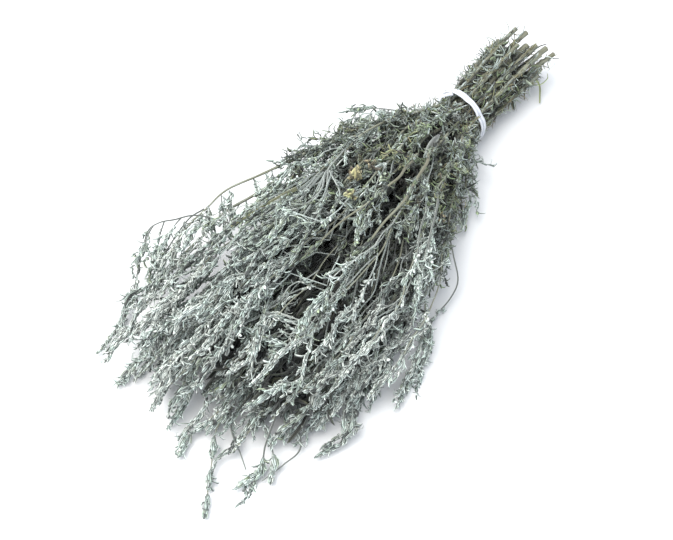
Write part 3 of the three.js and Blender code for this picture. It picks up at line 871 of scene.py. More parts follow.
def leaf_tones(rng, s, depth, edge):
    """Tones of leaves at s: greener near the band, silver further out, a few dead ones."""
    count = len(s)
    green = np.clip(GREEN_MOST - np.abs(s - GREENEST) / GREEN_REACH, 0, 1)
    tone = LEAF_TONE + (TONE_GREY_GREEN - TONE_SILVER) * green + rng.normal(0, LEAF_TONES, count)
    tone = tone - DEPTH_TONE * depth + NECK_SILVER * np.clip(1 - s / NECK_LENGTH, 0, 1)
    odd = rng.random(count)
    green = green * (1 - edge * EDGE_GREY)
    tone = np.where(odd < GREEN_LEAVES * green, rng.normal(TONE_GREEN, GREEN_TONES, count), tone)
    first, share = OLIVE_LEAVES
    olive = (odd > first) & (odd < first + share * green)
    tone = np.where(olive, rng.normal(TONE_OLIVE, OLIVE_TONES, count), tone)
    first, last = PALE_LEAVES
    tone = np.where((odd > first) & (odd < last), tone + PALER, tone)
    return np.where(odd > 1 - DEAD_LEAF_SHARE * green, rng.uniform(*DEAD_TONES, count), tone)


def roots_on(growth, s):
    """The points of a stem at s, and its direction there."""
    root = point_at(s, *growth.at(s))
    return root, unit(point_at(s + STEP_AHEAD, *growth.at(s + STEP_AHEAD)) - root)


def leaves_along(skin, growth, rng, sizes):
    """Curled leaves cut into narrow lobes, round the stem from the band to the bare stalk."""
    step = sizes.leaf_step / MM * (EDGE_SPACING if growth.centre[0] > EDGE_FROM else growth.spacing)
    end = growth.bare[0] if growth.bare else LEAFY_END + LEAVES_PAST
    s = np.arange(BAND_EDGE, end, step)
    count = len(s)
    s = s + rng.uniform(-LEAF_SCATTER, LEAF_SCATTER, count)
    root, axis = roots_on(growth, s)
    turn = np.arange(count) * GOLDEN_ANGLE + growth.phase
    ahead, up = spread_round(axis, any_across(axis), turn, rng.uniform(*LEAF_LEAN, count))
    opened = np.clip(s / OPENING[0], OPENING[1], 1)
    opened = opened * np.clip(CLOSING[0] - s / CLOSING[1], CLOSING[2], 1)
    size = opened * rng.uniform(*LEAF_SIZES, count)
    edge = np.clip((growth.centre[0] - FRINGE_FROM) * FRINGE_RISE, 0, 1)
    tone = leaf_tones(rng, s, growth.depth, edge) + EDGE_SILVER * edge
    skin.depth = growth.depth + (rng.random(count) < (DULL_SHARE + DULLER) * (1 - edge))
    curl = rng.uniform(*LEAF_CURL, count)
    width = np.full(count, RACHIS_WIDTH)
    length = sizes.leaf_length / MM * size
    spine = spikes(skin, root, ahead, up, length, width, curl, tone, TWIG_OUTLINE)
    each = len(LEAF_PLACES)
    many = count * each
    length = sizes.lobe_length / MM * np.repeat(size, each) ** LOBE_EVENNESS
    length = length * rng.uniform(*LOBE_LENGTHS, many)
    width = sizes.lobe_width / MM * rng.uniform(*LOBE_WIDTHS, many)
    curl = mostly(rng, *LOBE_CURLS, many)
    shade = varied(rng, np.repeat(tone, each))
    lean = rng.uniform(*LOBE_LEAN, many)
    turn = rng.uniform(0, 2 * np.pi, many)
    wave = rng.normal(0, LOBE_WAVE, many)
    skin.depth = np.repeat(skin.depth, each) + (rng.random(many) < SHADED_SHARE)
    lobes_on(skin, spine, LEAF_PLACES, turn, lean, length, width, curl, shade, wave)
    skin.depth = growth.depth


# Dry strips behind the band, looser with distance from it and on the left side's fringe
STRIPS_AFTER_CUT, STRIPS_END = 5, 24
STRIPS_SIDE_BY_SIDE, STRIP_SCATTER = 5, 2
LOOSENING, TIGHTEST, LEAST_CURL = 30, 0.06, 0.3
FRINGE_LOOSE, USUAL_LOOSE = 0.8, 0.35
STRIP_LEAN, STRIP_TURN = (0.05, 1.3), 1.1
STRIP_ROOT = 0.9  # of the stalk's radius
STRIP_LENGTHS, STRIP_WIDTHS = (0.5, 1.3), (0.45, 0.95)
STRIP_CURLS = (0.6, (-4.5, -2), (2, 4.5))
FRINGE_PALE, USUAL_PALE = 0.85, 0.5
PALE_STRIPS, DARK_STRIPS = (0.55, 0.9), (0.08, 0.42)


def strips_along(skin, growth, rng, sizes):
    """Narrow dry strips and leaf scraps along the outer stems, from the cut end through the band."""
    if growth.depth > 1:
        return
    s = np.arange(growth.cut + STRIPS_AFTER_CUT, STRIPS_END, sizes.strip_step / MM)
    s = np.repeat(s, STRIPS_SIDE_BY_SIDE)
    count = len(s)
    s = s + rng.uniform(-STRIP_SCATTER, STRIP_SCATTER, count)
    root, axis = roots_on(growth, s)
    out = unit(np.array([0, growth.centre[0], growth.centre[1]]))
    out = unit(out - axis * (axis @ out)[:, None])
    fringe = growth.centre[0] > FRINGE_FROM
    loose = np.clip(np.abs(s) / LOOSENING, TIGHTEST, 1) * (FRINGE_LOOSE if fringe else USUAL_LOOSE)
    lean = rng.uniform(*STRIP_LEAN, count) * loose
    axis = axis * np.where(rng.random(count) < 0.5, 1, -1)[:, None]
    ahead, up = spread_round(axis, out, rng.normal(0, STRIP_TURN, count), lean)
    root = root + up * growth.radius * STRIP_ROOT
    length = sizes.strip_length / MM * rng.uniform(*STRIP_LENGTHS, count)
    skin.depth = growth.depth + 2 * (rng.random(count) < SHADED_SHARE)
    width = sizes.lobe_width / MM * rng.uniform(*STRIP_WIDTHS, count)
    curl = mostly(rng, *STRIP_CURLS, count) * np.maximum(loose, LEAST_CURL)
    pale_share = FRINGE_PALE if fringe else USUAL_PALE
    tone = mostly(rng, pale_share, PALE_STRIPS, DARK_STRIPS, count)
    wave = rng.normal(0, LOBE_WAVE, count) * np.maximum(loose, LEAST_CURL)
    spikes(skin, root, ahead, up, length, width, curl, tone, LOBE_OUTLINE, wave)
    skin.depth = growth.depth


# Whole stems, and the tufts that hang below the bare ones
STALK_STEPS = 96
STALK_TAPER, BARE_TAPER, STALK_TIP = 2.6, 1.2, 0.36
STALK_PALING, BARE_PALING, BARK_VARIETY = 0.7, 0.8, 0.45
STALK_SWAY, SWAY_FROM_BAND = 0.8, 40
SWAY_LENGTHS, SECOND_SWAY = (9.5, 5.2, 7.8), 0.6  # the first two are sideways, the last is upwards
KNOTS, KNOT_STEP, KNOT_SHARPNESS = 0.1, 2.6, 6  # a stalk is a little thicker where leaves sat
PLUME_BARE = 0.05
SLENDER_EARS = 44
EAR_STRETCHES = ((0.02, 0.26), (0.42, 0.66), (0.74, 1.0))
FULL_EAR, SLENDER_STAND = 5, 2.6
LOOSE_TONE = 0.78
LOOSE_SPACING, TUFT_SPACING = 0.85, 0.5  # twiglets on loose growth are closer together
CLUSTER_POINTS, CLUSTER_SCATTER, CLUSTER_LENGTHS = 8, 6, (6, 14)
CLUSTER_OUT, CLUSTER_ASIDE, CLUSTER_DOWN = (-1, -0.3), (-1, -0.2), -0.3
CLUSTER_BEND = (0.1, -0.3, -0.35)


def hanging_clusters(skin, growth, rng, sizes):
    """Short tufts of buds that hang below a bare stem."""
    count = growth.stray["clusters"]
    skin.depth = 0
    scatter = rng.uniform(-CLUSTER_SCATTER, CLUSTER_SCATTER, count)
    for s in np.linspace(*growth.bare, count) + scatter:
        t = np.linspace(0, 1, CLUSTER_POINTS)[:, None]
        length = rng.uniform(*CLUSTER_LENGTHS)
        droop = unit(np.array([rng.uniform(*CLUSTER_OUT), rng.uniform(*CLUSTER_ASIDE), CLUSTER_DOWN]))
        path = point_at(s, *growth.at(s)) + length * (droop * t + np.array(CLUSTER_BEND) * t**2)
        loose_stalk(skin, path, np.linspace(SHOOT_RADIUS, SHOOT_TIP_RADIUS, CLUSTER_POINTS))
        sprigs_along(skin, rng, path, sizes, LOOSE_TONE, 0.0, TUFT_SPACING)
    skin.depth = growth.depth


def stem_stalk(skin, growth):
    """The stem's own barked stalk from its cut end to its tip, and the path that it follows."""
    s = np.linspace(growth.cut, growth.reach, STALK_STEPS)
    path = point_at(s, *growth.at(s))
    first, second, upward = SWAY_LENGTHS
    sway = STALK_SWAY * np.clip((s - BAND_EDGE) / SWAY_FROM_BAND, 0, 1)
    path[:, 1] += sway * (np.sin(s / first + growth.phase) + SECOND_SWAY * np.sin(s / second + growth.i))
    path[:, 2] += sway * np.sin(s / upward + 2 * growth.phase)
    share = (s - growth.cut) / (growth.reach - growth.cut)
    taper = BARE_TAPER if growth.bare else STALK_TAPER
    radius = STALK_TIP + (growth.radius - STALK_TIP) * (1 - share) ** taper
    knots = np.maximum(np.sin(s / KNOT_STEP + 2 * growth.phase), 0) ** KNOT_SHARPNESS
    pale_start = BARK_VARIETY * (growth.i * GOLDEN_ANGLE % 1)
    pale_end = BARE_PALING if growth.bare else STALK_PALING
    barked_stalk(skin, path, radius * (1 + KNOTS * knots), (pale_start, pale_end))
    return s, path


def leafy_stem(growth, sizes, materials):
    """One stem with its leaves, side shoots and plume, as one mesh."""
    rng = np.random.default_rng(SEED * 100 + growth.i)
    skin = Skin(growth.depth)
    s, path = stem_stalk(skin, growth)
    if growth.bare:
        hanging_clusters(skin, growth, rng, sizes)
    strips_along(skin, growth, rng, sizes)
    leaves_along(skin, growth, rng, sizes)
    side_shoots(skin, growth, rng, sizes)
    # painted shade on plumes deep in the bunch, less where the stems lie spread out
    skin.depth = round(growth.depth * np.interp(growth.reach, SPREAD_OUT, (1, 0)))
    if growth.slender:
        end = path[s > growth.reach - SLENDER_EARS]
        for stretch in EAR_STRETCHES:
            part = np.array(stretch) * run_of(end)[-1]
            ear(skin, rng, end, part, sizes, LOOSE_TONE, FULL_EAR, SLENDER_STAND)
    else:
        plume = path[s > growth.reach - PLUME_LENGTH]
        tone = plume_tone(growth.reach) - DEPTH_TONE * skin.depth
        sprigs_along(skin, rng, plume, sizes, tone, PLUME_BARE, growth.spacing)
    return skin.make(f"{STEM_NODES[growth.i]}_fine", materials)


# The elastic band round the bundle, and its loose end
BAND_RADIUS = 19.8  # to the middle of its thickness
BAND_THICKNESS = 1.2
BAND_WIDTH = 5
BAND_YAW = math.radians(-14)
BAND_CENTRE_Z = 20
BAND_STEPS = 132
BAND_LINES = 3
BAND_WEAVE = 90
SECTION_POINTS, EDGE_ROUNDNESS = 19, 8
BAND_PLEATS, PLEAT_HEIGHT, PLEAT_SHARE = 3, 0.14, 0.85  # lengthwise folds across its width
PLEATS_FROM = 0.2  # millimetres: there are none at its edges, where it is thinner than this
UNEVEN = ((0.18, 9, 1), (0.12, 17, 0))  # in and out, as height, waves in a turn and phase
DRIFT = ((0.5, 2, 0.6), (0.2, 7, 0))  # from side to side
TAIL_START = math.radians(118)  # round the band, from its +Y side over the top
TAIL_PINCH, PINCH_LENGTH = 0.16, 0.25  # the band is narrower there
TAIL = [(2, 8, 39.2), (5, 10.5, 39.6), (8, 13.5, 38.6), (10.5, 13.5, 37), (12, 12, 36)]
TAIL_HALF_WIDTH, TAIL_HALF_THICKNESS = 1.5, 0.35
TAIL_NARROWS = (1.1, 0.7)
TAIL_STEPS, TAIL_SIDES, TAIL_TIP, TAIL_MAP = 24, 12, 0.3, 0.004


def band_section():
    """The band's section, as (out, across) from its middle: pleated outside and flat inside."""
    across = np.linspace(-0.5, 0.5, SECTION_POINTS)
    bulge = BAND_THICKNESS / 2 * (1 - (2 * across) ** EDGE_ROUNDNESS) ** 0.5
    pleat = PLEAT_HEIGHT * np.cos(across * 2 * np.pi * BAND_PLEATS) * (bulge > PLEATS_FROM)
    outer = np.stack([bulge * PLEAT_SHARE + pleat, across * BAND_WIDTH], 1)
    inner = np.stack([-bulge[1:-1:2], across[1:-1:2] * BAND_WIDTH], 1)[::-1]
    return np.concatenate([outer, inner])


def waves_round(theta, waves):
    """Waves round the band at these angles, each given by its height, number and phase."""
    return sum(height * np.sin(theta * number + phase) for height, number, phase in waves)


def elastic_band(materials):
    """The tight band round the stems, a little uneven where they press it, flat on the table."""
    section = band_section()
    sides = len(section)
    theta = np.linspace(0, 2 * np.pi, BAND_STEPS, endpoint=False)
    across = np.array([math.cos(BAND_YAW), math.sin(BAND_YAW), 0])
    level = np.array([-math.sin(BAND_YAW), math.cos(BAND_YAW), 0])
    out = np.cos(theta)[:, None] * level + np.sin(theta)[:, None] * [0, 0, 1]
    radius = BAND_RADIUS + waves_round(theta, UNEVEN)
    ring = out * radius[:, None] + across * waves_round(theta, DRIFT)[:, None]
    ring = ring + [0, 0, BAND_CENTRE_Z]
    narrow = 1 - TAIL_PINCH * np.exp(-(((theta - TAIL_START) / PINCH_LENGTH) ** 2))
    points = ring[:, None] + out[:, None] * section[:, :1]
    points = points + across * (section[:, 1:] * narrow[:, None, None])
    skin = Skin()
    faces, corners = ring_faces(BAND_STEPS + 1, sides)
    faces = faces % (BAND_STEPS * sides)
    maps = np.stack([corners[..., 1] / BAND_STEPS, corners[..., 0] / sides], -1)
    skin.add(points.reshape(-1, 3), faces, maps, LEAF_LOOK)
    band_tail(skin)
    return skin.make("elastic_band", materials)


def band_tail(skin):
    """The loose end of the elastic, flat and curled over."""
    path = smooth_through(TAIL, TAIL_STEPS)
    _, sideways, upward = frames_along(path)
    turn = np.arange(TAIL_SIDES) * 2 * np.pi / TAIL_SIDES
    narrow = np.linspace(*TAIL_NARROWS, len(path))[:, None, None]
    flat = np.cos(turn)[:, None] * TAIL_HALF_WIDTH * sideways[:, None] * narrow
    ring = path[:, None] + flat - np.sin(turn)[:, None] * TAIL_HALF_THICKNESS * upward[:, None]
    faces, corners = closed_form(len(path), TAIL_SIDES)
    points = np.concatenate([ring.reshape(-1, 3), point_past(path, TAIL_TIP)])
    maps = np.stack([corners[..., 1] * TAIL_MAP, corners[..., 0] / TAIL_SIDES], -1)
    skin.add(points, faces, maps, LEAF_LOOK)


def smooth_through(points, count):
    """A smooth path through points listed as (s, y, z)."""
    points = np.asarray(points, float)
    padded = np.concatenate([2 * points[:1] - points[1:2], points, 2 * points[-1:] - points[-2:-1]])
    place = np.linspace(0, len(points) - 1, count)
    k = np.minimum(place.astype(int), len(points) - 2)
    t = (place - k)[:, None]
    a, b, c, d = (padded[k + i] for i in range(4))
    path = 2 * b + (c - a) * t + (2 * a - 5 * b + 4 * c - d) * t**2 + (3 * b - a - 3 * c + d) * t**3
    return path / 2 * [-1, 1, 1]


def nearest_stem(s, y, z):
    """The point of the nearest stem at s, as (s, y, z)."""
    middles = [point_at(s, *growth.at(s)) for growth in GROWTHS if growth.reach > s]
    nearest = min(middles, key=lambda middle: math.hypot(middle[1] - y, middle[2] - z))
    return (s, nearest[1], nearest[2])


# Loose growth that stands out from the bunch, as points (s, y, z), rooted in the nearest stem. Its
# sprigs start at a share of its length, its ears lie between two shares, and each short branch that
# hangs from it has its share and length. A spray without sprigs is bare up to its ears.
LOOSE_SPRAYS = {
    "left_arc": {
        "points": [
            (168, 72, 44), (181, 88, 46), (193, 102, 46), (198, 110, 43), (203, 116, 36),
            (211, 117, 22), (222, 114, 14), (233, 110, 9), (253, 105, 5), (273, 104, 4),
        ],
        "sprigs": 0.48,
        "hanging": [(0.2, 16), (0.3, 22), (0.4, 16)],
    },
    "left_branch": {
        "points": [(172, 82, 44), (182, 101, 34), (198, 107, 18), (210, 106, 10), (222, 105, 7)],
        "sprigs": 0.3,
        "hanging": [(0.3, 16), (0.5, 16)],
    },
    "left_tip": {
        "points": [(205, 54, 38), (236, 70, 24), (262, 76, 10), (284, 80, 4)],
        "sprigs": 0.4,
        "ears": [(0.5, 0.7), (0.76, 1.0)],
        "hanging": [(0.45, 18)],
    },
    "shoulder_tuft": {
        "points": [(24, 16, 34), (36, 32, 40), (43, 48, 40), (48, 58, 36)],
        "sprigs": 0.5,
        "hanging": [(0.62, 9), (0.75, 10), (0.9, 9)],
    },
    "lower_bare_strand": {"points": [(268, 6, 14), (280, 2, 8), (287, -8, 5), (294, -17, 4)]},
    "lower_tuft": {
        "points": [(262, -14, 16), (278, -20, 9), (290, -25, 5), (298, -22, 4), (306, -19, 4)],
        "ears": [(0.5, 1.0), (0.55, 0.95)],
        "hanging": [(0.6, 9)],
    },
    "lower_stalk": {"points": [(250, -30, 14), (265, -36, 5), (280, -34, 4), (295, -29, 4)]},
    "lower_ear": {
        "points": [(264, -20, 14), (280, -27, 7), (292, -33, 4)],
        "ears": [(0.1, 0.4), (0.6, 1.0)],
    },
    "lower_spike": {
        "points": [(230, -46, 14), (249, -56, 6), (257, -52, 5), (265, -48, 4)],
        "ears": [(0.3, 0.6), (0.66, 1.0)],
    },
    "lower_left_spike": {
        "points": [(272, 18, 12), (292, 22, 6), (306, 21, 4)],
        "ears": [(0.2, 0.6), (0.66, 1.0)],
    },
    "right_loop": {
        "points": [
            (96, -42, 34), (112, -53, 24), (119, -61, 12), (130, -62, 6), (150, -60, 4),
            (172, -67, 4), (195, -69, 4), (213, -71, 4),
        ],
        "sprigs": 0.42,
        "hanging": [(0.6, 9), (0.75, 9)],
        "radius": 0.55,
    },
    "right_drop": {
        "points": [
            (98, -30, 55), (115, -32, 57), (132, -37, 56), (144, -45, 50), (140, -52, 42),
            (125, -54, 35),
        ],
        "ears": [(0.93, 1.0)],
        "hanging": [(0.5, 8)],
        "radius": 0.55,
    },
    "right_stalk": {
        "points": [(86, -26, 52), (108, -36, 56), (128, -42, 53), (148, -48, 45), (166, -54, 34)],
        "sprigs": 0.45,
        "hanging": [(0.5, 14)],
    },
}
SPRAY_STEPS, SPRAY_RADIUS, SPRAY_TIP = 50, 0.68, SHOOT_TIP_RADIUS + 0.12
SPRAY_STAND, SPRAY_TONES = 2.2, 0.04
BRANCH_STEPS, BRANCH_RADIUS, BRANCH_BARE = 8, SHOOT_RADIUS + 0.1, 0.3
BRANCH_ALONG, BRANCH_SCATTER = 0.3, 0.2
HANG_AWAY, HANG_BEND = np.array([-0.6, -0.4, 0.1]), np.array([-0.15, 0, -0.5])


def hanging_branch_path(path, share, length, rng):
    """The path of a short branch that hangs from a share of the way along a spray."""
    k = int(share * (len(path) - 1))
    heading = unit(path[min(k + 1, len(path) - 1)] - path[k])
    t = np.linspace(0, 1, BRANCH_STEPS)[:, None]
    out = heading * BRANCH_ALONG + HANG_AWAY + rng.normal(0, BRANCH_SCATTER, 3)
    return path[k] + (unit(out) * t + HANG_BEND * t**2) * length


def loose_spray(name, spray, sizes, materials, rng):
    """One loose spray with its hanging branches, as a mesh of its own."""
    skin = Skin()
    points = [nearest_stem(*spray["points"][0]), *spray["points"][1:]]
    path = smooth_through(points, SPRAY_STEPS)
    total = run_of(path)[-1]
    radius = spray.get("radius", SPRAY_RADIUS)
    loose_stalk(skin, path, np.linspace(radius, SPRAY_TIP, SPRAY_STEPS))
    if "sprigs" in spray:
        sprigs_along(skin, rng, path, sizes, LOOSE_TONE, spray["sprigs"], LOOSE_SPACING)
    for stretch in spray.get("ears", ()):
        tone = LOOSE_TONE + rng.normal(0, SPRAY_TONES)
        ear(skin, rng, path, np.array(stretch) * total, sizes, tone, FULL_EAR, SPRAY_STAND)
    for share, length in spray.get("hanging", ()):
        branch = hanging_branch_path(path, share, length, rng)
        loose_stalk(skin, branch, np.linspace(BRANCH_RADIUS, SHOOT_TIP_RADIUS, BRANCH_STEPS))
        tone = LOOSE_TONE + rng.normal(0, SPRAY_TONES)
        sprigs_along(skin, rng, branch, sizes, tone, BRANCH_BARE, TUFT_SPACING)
    return skin.make(name, materials)


# Flowering tips at the end of the bunch, by where they end (s, y, z)
LOWER_TIPS = [
    (303, 24, 5), (294, 36, 6), (287, 14, 6), (280, 7, 8), (280, -3, 6), (271, -9, 8),
    (274, -21, 6), (265, -27, 6), (259, -34, 6), (252, -40, 8), (247, -54, 6), (280, 52, 7),
    (275, 63, 8), (280, 78, 6), (267, 76, 9), (260, 84, 8), (286, 42, 12), (272, 28, 16),
    (260, 8, 18), (248, -12, 18), (236, -33, 18),
]
LOWER_STEPS, LOWER_LENGTHS = 24, (60, 80)
LOWER_ROOT = (0.8, 6, 22)  # its share of the tip's y, and how far it is beside and above
LOWER_BEND = (0.45, 0.9, 3, 9)  # its share of the length and of y, and how far beside and above
LOWER_END = (14, 2)  # the last bend's place before the tip, and above it
BEND_SCATTER, END_SCATTER = 4, 2
LOWER_TONES, LOWER_BARE = (0.07, 0.05), (0.1, 0.3)


def lower_shoots(sizes, materials, rng):
    """The flowering tips that lie out over the table at the end of the bunch."""
    skin = Skin()
    root_share, root_beside, root_above = LOWER_ROOT
    bend_back, bend_share, bend_beside, bend_above = LOWER_BEND
    end_back, end_above = LOWER_END
    for s, y, z in LOWER_TIPS:
        back = rng.uniform(*LOWER_LENGTHS)
        root = nearest_stem(s - back, y * root_share + root_beside, root_above + z)
        bend_y = y * bend_share + bend_beside + rng.uniform(-BEND_SCATTER, BEND_SCATTER)
        bend = (s - back * bend_back, bend_y, z + bend_above)
        end = (s - end_back, y + rng.uniform(-END_SCATTER, END_SCATTER), z + end_above)
        path = smooth_through([root, bend, end, (s, y, z)], LOWER_STEPS)
        skin.depth = int(rng.random() < DULL_SHARE / 2)
        loose_stalk(skin, path, np.linspace(SHOOT_RADIUS, SHOOT_TIP_RADIUS, LOWER_STEPS))
        tone = TONE_SILVER + rng.normal(*LOWER_TONES)
        sprigs_along(skin, rng, path, sizes, tone, rng.uniform(*LOWER_BARE))
    return skin.make("lower_shoots", materials)


# Crumpled leaves inside, as count, stretch along the bunch, reach across it, depths (rows of painted
# shade) and lengths
INNER_LEAVES = [
    (2000, (22, 250), 0.8, (3, 4), (11, 24)),
    (520, (-64, -6), 0.88, (1, 4), (4, 10)),
]
INNER_NARROWING, INNER_NARROWEST = (150, 250), 0.55
INNER_FLAT, INNER_LOW = 0.65, 0.35  # past the band they lie flatter and lower
INNER_STEP = 3
INNER_TURN, INNER_LEAN = (0, 6.3), (0, 0.9)
INNER_WIDTHS, INNER_CURLS, INNER_TONES = (1.6, 4), (-2, 2), (0.3, 0.7)


def inner_leaves(materials, rng):
    """Crumpled leaves inside the bunch, low over the table, and among the cut ends, drawn dark with
    painted shade; those low inside stand for the shade between the shoots.
    """
    skin = Skin()
    for count, stretch, reach, depths, lengths in INNER_LEAVES:
        s = rng.uniform(*stretch, count)
        turn = rng.uniform(0, 2 * np.pi, count)
        off = reach * np.sqrt(rng.random(count)) * np.interp(s, INNER_NARROWING, (1, INNER_NARROWEST))
        u, v = off * np.cos(turn), off * np.sin(turn)
        if stretch[0] > 0:
            v = v * INNER_FLAT - INNER_LOW
        root = point_at(s, u, v)
        axis = unit(point_at(s + INNER_STEP, u, v) - root)
        turn = rng.uniform(*INNER_TURN, count)
        ahead, up = spread_round(axis, any_across(axis), turn, rng.uniform(*INNER_LEAN, count))
        # painted shade: these leaves take the darker rows of the leaf finish
        skin.depth = rng.integers(*depths, count)
        width = rng.uniform(*INNER_WIDTHS, count)
        curl = rng.uniform(*INNER_CURLS, count)
        wave = rng.normal(0, 1, count)
        tone = rng.uniform(*INNER_TONES, count)
        length = rng.uniform(*lengths, count)
        spikes(skin, root, ahead, up, length, width, curl, tone, LOBE_OUTLINE, wave)
    return skin.make("inner_leaves", materials)


# Pale bare stalks combed over the top of the bunch, as places (s, u)
COMBED_STALKS = [
    [(119, 0.33), (139, 0.0), (160, -0.08)],
    [(120, 0.33), (148, 0.06), (180, -0.09), (204, -0.13)],
    [(122, 0.36), (163, 0.2), (196, 0.2), (222, 0.15)],
    [(124, 0.38), (163, 0.29), (188, 0.31), (226, 0.26)],
    [(120, 0.35), (165, 0.08), (198, -0.01), (222, -0.05)],
    [(120, 0.35), (151, 0.13), (179, 0.06), (212, 0.13)],
    [(125, 0.41), (157, 0.4), (190, 0.4), (224, 0.44)],
    [(124, 0.38), (148, 0.27), (171, 0.31), (203, 0.28)],
    [(124, 0.36), (156, 0.22), (184, 0.24), (214, 0.34)],
    [(119, 0.3), (145, 0.1), (172, -0.02), (196, 0.04)],
    [(126, 0.42), (150, 0.34), (178, 0.36), (206, 0.36)],
    [(122, 0.34), (142, 0.16), (166, 0.16), (192, 0.1), (216, 0.02)],
]
COMB_STEPS, COMB_LIFT, COMB_RADIUS, COMB_SINK = 40, 0.98, 0.58, 6
COMB_SWAY, COMB_TURNS, COMB_TONES = 0.9, (8, 15), (0, 0.12)
COMB_EARS = (0.75, 0.9)
COMB_LEAFY, COMB_TONE, COMB_BARE, COMB_SPACING = 30, TONE_GREY_GREEN + 0.1, 0.3, 1.6

# Thick stalks that lie on top, as places (s, u) and the radius at both ends
TOP_STALKS = [
    ([(58, -0.4), (74, -0.42), (88, -0.45), (120, -0.45), (150, -0.41), (176, -0.36)], (1.25, 0.5)),
    ([(76, -0.27), (92, -0.3), (107, -0.29), (126, -0.23), (162, -0.14), (190, -0.1)], (1.05, 0.45)),
]
TOP_STEPS, TOP_LIFT, TOP_PALE = 48, 0.93, (0.0, 0.35)
TOP_SWAY, TOP_TURNS = 0.5, (26, 19)  # sideways and upwards
TOP_LEAFY, TOP_STAND = ((0.02, 0.2), (0.36, 0.5), (0.8, 1)), 2.0  # shares under small leaves
TOP_SINK = 7  # how far their ends are below their middles

# One thin olive stalk among them
OLIVE_STALK, OLIVE_RADII = [(146, 0.33), (157, 0.36), (173, 0.38), (190, 0.4)], (1.6, 0.6)
OLIVE_STEPS = 24


def points_over(places, lift):
    """The points (s, y, z) over the bunch at places (s, u), at a height v."""
    s, u = np.array(places).T
    return point_at(s, u, lift) * [-1, 1, 1]


def combed_stalk(skin, places, sizes, rng):
    """One pale stalk, bare at first, then with small leaves and an ear at its end."""
    points = points_over(places, COMB_LIFT)
    points[0, 2] -= COMB_SINK
    path = smooth_through(points, COMB_STEPS)
    t = np.linspace(0, 1, COMB_STEPS)
    path[:, 1] += COMB_SWAY * np.sin(t * rng.uniform(*COMB_TURNS) + rng.uniform(*ANY_PHASE)) * t
    tone = TONE_STRAW - rng.uniform(*COMB_TONES)
    thin_stalk(skin, path, np.linspace(COMB_RADIUS, SHOOT_TIP_RADIUS, COMB_STEPS), tone)
    total = run_of(path)[-1]
    ear(skin, rng, path, (total * rng.uniform(*COMB_EARS), total), sizes, TONE_SILVER)
    sprigs_along(skin, rng, path[:COMB_LEAFY], sizes, COMB_TONE, COMB_BARE, COMB_SPACING)


def top_stalk(skin, places, radii, sizes, rng):
    """One thick barked stalk, with small leaves along parts of it."""
    points = points_over(places, TOP_LIFT)
    points[[0, -1], 2] -= TOP_SINK
    path = smooth_through(points, TOP_STEPS)
    for k, turns in enumerate(TOP_TURNS, start=1):
        path[:, k] += TOP_SWAY * np.sin(np.linspace(0, turns, TOP_STEPS) + places[0][0])
    barked_stalk(skin, path, np.linspace(*radii, TOP_STEPS), TOP_PALE)
    total = run_of(path)[-1]
    for stretch in TOP_LEAFY:
        part = np.array(stretch) * total
        ear(skin, rng, path, part, sizes, TONE_GREY_GREEN, EAR_BRACTS, TOP_STAND)


def combed_stalks(sizes, materials, rng):
    """The bare stalks over the top of the bunch: pale ones, thick ones and an olive one."""
    skin = Skin(1)
    for places in COMBED_STALKS:
        combed_stalk(skin, places, sizes, rng)
    for places, radii in TOP_STALKS:
        top_stalk(skin, places, radii, sizes, rng)
    path = smooth_through(points_over(OLIVE_STALK, COMB_LIFT), OLIVE_STEPS)
    thin_stalk(skin, path, np.linspace(*OLIVE_RADII, OLIVE_STEPS), TONE_OLIVE)
    return skin.make("combed_stalks", materials)


# Curled dead leaves, as middle (s, y, z), tone, petal count, petal length and width
DEAD_LEAVES = [
    ((117, 17, 65), 0.18, 7, 14, 6.5),
    ((117, 17, 66), 0.03, 6, 8, 5),
    ((106, 13, 65), 0.15, 4, 10, 4.5),
    ((134, 10, 66), 0.26, 6, 9, 5),
    ((133, 11, 67), 0.08, 4, 6, 3.5),
    ((104, -38, 44), 0.19, 4, 7, 2.4),
]
CUP_AXIS, CUP_SCATTER, CUP_TILT, CUP_TURN = (-0.35, -0.3, 0.85), 0.7, 0.15, 1
CUP_LEAN, CUP_SIZES, CUP_CURL = (1.0, 1.5), (0.5, 1.2), (-3.2, -1.1)
CUP_TONES, CUP_WAVE = 0.035, 0.5

# Flat dark leaves, as root (s, y, z), direction, length, width and tone
FLAT_LEAVES = [
    ((55, -9, 58), (-1, 0.1, 0.05), 19, 5, 0.97),
    ((64, -12, 58), (-1, 0.35, 0.1), 13, 3.4, 0.75),
]
FLAT_DEPTH, FLAT_CURL, FLAT_FACING = 2, -0.7, (0, 0.2, 1)

# Long curled leaves at the right edge, by their roots (s, y, z)
EDGE_CURLS = [
    (31, -30, 14), (38, -33, 12), (50, -38, 13), (66, -43, 13), (84, -47, 14), (60, -41, 16),
]
EDGE_LENGTH, EDGE_WIDTH, EDGE_TONE, EDGE_WAVE = 15.0, 0.9, 0.6, 0.4
EDGE_ROOT, EDGE_AHEAD, EDGE_UP, EDGE_CURL = 4, (-0.8, 0.1), (0, 0.4), (3, 5)


def one_leaf(skin, root, ahead, facing, length, width, curl, tone, wave=0.0):
    """One leaf whose upper side faces as given."""
    ahead = unit(np.array([ahead], float))
    up = unit(np.cross(np.cross(ahead, facing), ahead))
    measures = (np.array([measure]) for measure in (length, width, curl, tone))
    spikes(skin, np.array([root]), ahead, up, *measures, PETAL_OUTLINE, wave)


